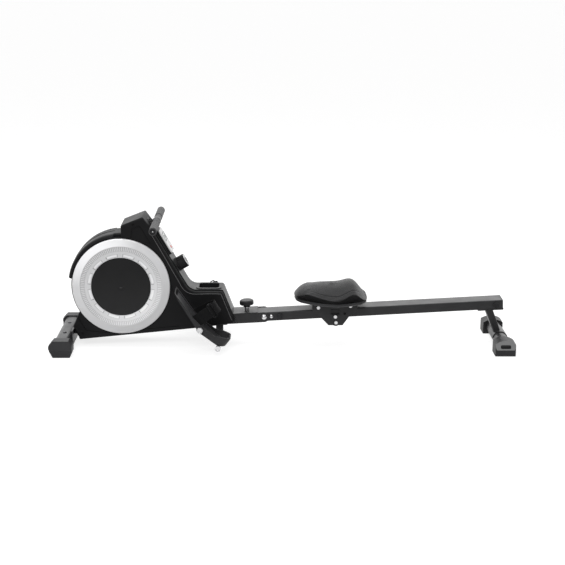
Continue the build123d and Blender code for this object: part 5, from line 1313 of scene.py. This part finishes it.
class ROWER_OT_handle(bpy.types.Operator):
    """Finish the pull handle: foam grips with dark rims, studs in its ends, the clip and the cradle"""

    bl_idname = "rower.handle"
    bl_label = "Pull handle"

    def execute(self, context):
        dress("grip_foam", "handle_grips", "handle_bar")
        dress("knob_plastic", "handle_end_plugs", "strap_clip", "handle_cradle")
        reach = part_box("handle_grips")[1].y
        crown = [(STUD_RADIUS * cos(turn), STUD_RISE * sin(turn)) for turn in spread(0, pi / 2, 5)[:-1]]
        crown += [(STUD_CORE, STUD_RISE), (STUD_CORE, STUD_BACK), (STUD_RADIUS, STUD_BACK)]
        rims, studs = Shape(), Shape()
        for side in SIDES.values():
            out = ACROSS * side
            for at in (GRIP_INNER, reach - RIM_WIDTH):
                rims.turned(HANDLE_CENTRE + out * at, out, GRIP_RIM, 48)
            studs.turned(HANDLE_CENTRE + out * (reach - STUD_SINK), out, crown, 32)
        rims.add("grip_rims", "matt_rubber", "handle", "grip_foam")
        studs.add("handle_studs", "zinc_plate", "handle", "zinc")
        return {"FINISHED"}


# Foot plates: raised bars along the hollow's floor, from the toes to the heel
TREAD_LINE = [(-417, 244.5), (-361, 164), (-318, 119), (-272, 74)]
TREAD_LONG = 66 * MM
TREAD_WIDTH = 4.5 * MM
TREAD_HEIGHT = 1.6 * MM
TREAD_SINK = 0.4 * MM


class ROWER_OT_pedals(bpy.types.Operator):
    """Finish the foot plates, raise the tread bars on them, and plate their axle, bar and nuts"""

    bl_idname = "rower.pedals"
    bl_label = "Pedals"

    def execute(self, context):
        dress("foot_plastic", "pedal_left", "pedal_right")
        dress("zinc_plate", "pedal_axle", "axle_nuts", "heel_rest_bar")
        line = upright(TREAD_LINE)
        runs = runs_along(line)
        count = settings("trim").tread_bars
        for name in SIDES:
            middle = ACROSS * middle_of("pedal_" + name).y
            shape = Shape()
            for bar in range(count):
                place, way = place_along(line, runs, runs[-1] * (bar + 0.5) / count)
                up = way.cross(ACROSS)
                foot = place + middle - up * TREAD_SINK
                shape.bar(foot, ACROSS, way, up, TREAD_LONG, TREAD_WIDTH, TREAD_HEIGHT, TREAD_HEIGHT / 2)
            shape.add("tread_bars_" + name, "foot_plastic", name + "_pedal", "foot_plastic")
        return {"FINISHED"}


class ROWER_OT_drive(bpy.types.Operator):
    """Finish the flywheel, pulleys, belt, reel and magnets inside the housing"""

    bl_idname = "rower.drive"
    bl_label = "Drive"

    def execute(self, context):
        dress("turned_iron", "flywheel", "magnets")
        dress("zinc_plate", "flywheel_axle", "pulley_shaft", "shaft_bearings", "guide_pin")
        dress("pulley_plastic", "drive_pulley", "strap_reel", "guide_roller")
        dress("matt_rubber", "drive_belt")
        dress("satin_paint", "magnet_bracket")
        return {"FINISHED"}


# Studio: the floor's reach, where gloss fades from front to back on floor and sky, and the lights' aim
FLOOR_REACH = 40
FLOOR_FADE = (-1.2, 0.6)
SKY_FADE = (-0.5, 0.3)
LIGHT_AIM = Vector((0, 0, 250 * MM))


def pale_floor(colour, studio):
    """Pale floor that keeps a soft shadow; its gloss image fades to dark in front of the machine."""
    made = Finish("pale_floor", colour, 0.85, specular=0.1)
    made.clouds(600, 4, 0.4, 0.7, 0.05, lighter(colour, 0.97))
    made.grain(3, 3, 0.02)
    rays, seen = made.backdrop_rays()
    strength = made.node("ShaderNodeMix")
    made.join(rays["Is Camera Ray"], strength.inputs["Factor"])
    depth = made.between(made.parts(made.place)["Y"], *FLOOR_FADE, studio.front_gloss, studio.back_gloss)
    made.join(depth, strength.inputs["A"])
    strength.inputs["B"].default_value = studio.backdrop
    glow = made.node("ShaderNodeEmission")
    made.join(strength.outputs["Result"], glow.inputs["Strength"])
    share = made.between(seen, 0, 1, 0, 1 - studio.floor_shadow)
    made.surface(share, made.shader.outputs["BSDF"], glow.outputs["Emission"], "Material Output")
    return made.material


def studio_sky(studio):
    """Even pale light from all round; gloss sees it pale behind the machine and dark in front of it."""
    world = bpy.data.worlds.new("studio_sky")
    world.use_nodes = True
    sky = Nodes(world.node_tree)
    light = sky.tree.nodes["Background"]
    light.inputs["Color"].default_value = (1, 1, 1, 1)
    light.inputs["Strength"].default_value = studio.sky
    backdrop = sky.node("ShaderNodeBackground")
    backdrop.inputs["Color"].default_value = (1, 1, 1, 1)
    place = sky.parts(sky.node("ShaderNodeTexCoord").outputs["Generated"])
    gloss = (studio.front_gloss, studio.back_gloss)
    depth = sky.between(place["Y"], *SKY_FADE, *gloss, interpolation_type="SMOOTHSTEP")
    sky.join(depth, backdrop.inputs["Strength"])
    seen = sky.backdrop_rays()[1]
    sky.surface(seen, light.outputs["Background"], backdrop.outputs["Background"], "World Output")
    bpy.context.scene.world = world


def stand(name, data, place):
    """Puts a lamp, a camera or the floor's mesh into the scene."""
    holder = bpy.data.objects.new(name, data)
    holder.location = place
    bpy.context.scene.collection.objects.link(holder)
    return holder


def area_light(name, place, power, width, depth):
    """Large soft light that looks at the machine."""
    lamp = bpy.data.lights.new(name, "AREA")
    lamp.shape = "RECTANGLE"
    lamp.size = width
    lamp.size_y = depth
    lamp.energy = power
    stand(name, lamp, place).rotation_euler = (LIGHT_AIM - Vector(place)).to_track_quat("-Z", "Y").to_euler()


class ROWER_OT_stage(bpy.types.Operator):
    """Set the machine on a pale floor, under soft light, in front of the camera"""

    bl_idname = "rower.stage"
    bl_label = "Studio"

    def execute(self, context):
        studio = settings("studio")
        context.scene.view_settings.view_transform = "Standard"
        floor = bpy.data.meshes.new("studio_floor")
        corners = [(x * FLOOR_REACH, y * FLOOR_REACH, 0) for x, y in ((-1, -1), (1, -1), (1, 1), (-1, 1))]
        floor.from_pydata(corners, [], [(0, 1, 2, 3)])
        floor.materials.append(pale_floor(settings("colours").floor, studio))
        stand("studio_floor", floor, (0, 0, cad_low.z))
        studio_sky(studio)
        area_light("overhead", (0.1, 0.5, 3.2), studio.key_power, 4.5, 3.0)
        area_light("front", (-0.8, -3.6, 3.1), studio.fill_power, 3.2, 1.4)
        camera = bpy.data.cameras.new("photo_camera")
        camera.sensor_width = 36
        camera.lens = studio.camera_lens
        camera.shift_x = studio.camera_shift
        camera.clip_end = 200
        holder = stand("photo_camera", camera, studio.camera_place)
        holder.rotation_euler = Euler((studio.camera_tilt, 0, studio.camera_turn))
        context.scene.camera = holder
        return {"FINISHED"}


OPERATORS = (
    ROWER_OT_frame, ROWER_OT_housing, ROWER_OT_discs, ROWER_OT_console, ROWER_OT_knobs, ROWER_OT_handle,
    ROWER_OT_pull_strap, ROWER_OT_pedals, ROWER_OT_foot_straps, ROWER_OT_seat_frame, ROWER_OT_seat_cushion,
    ROWER_OT_drive, ROWER_OT_stage,
)
GROUPS = {
    "colours": RowerColours, "soft": RowerSoftSizes, "trim": RowerTrimSizes, "studio": RowerStudio,
}


class ROWER_PT_dressing(bpy.types.Panel):
    """Lists the steps that dress the machine"""

    bl_idname = "ROWER_PT_dressing"
    bl_label = "Rowing machine"
    bl_space_type = "VIEW_3D"
    bl_region_type = "UI"
    bl_category = "Rower"

    def draw(self, context):
        layout = self.layout
        for operator in OPERATORS:
            layout.operator(operator.bl_idname)
        for name, group in GROUPS.items():
            box = layout.box()
            for setting in group.__annotations__:
                box.prop(getattr(context.scene, "rower_" + name), setting)


def register():
    for group in GROUPS.values():
        bpy.utils.register_class(group)
    for name, group in GROUPS.items():
        setattr(bpy.types.Scene, "rower_" + name, PointerProperty(type=group))
    for operator in OPERATORS:
        bpy.utils.register_class(operator)
    bpy.utils.register_class(ROWER_PT_dressing)


def unregister():
    bpy.utils.unregister_class(ROWER_PT_dressing)
    for operator in reversed(OPERATORS):
        bpy.utils.unregister_class(operator)
    for name in GROUPS:
        delattr(bpy.types.Scene, "rower_" + name)
    for group in GROUPS.values():
        bpy.utils.unregister_class(group)


def main():
    register()
    for operator in OPERATORS:
        family, step = operator.bl_idname.split(".")
        getattr(getattr(bpy.ops, family), step)()


if __name__ == "__main__":
    main()
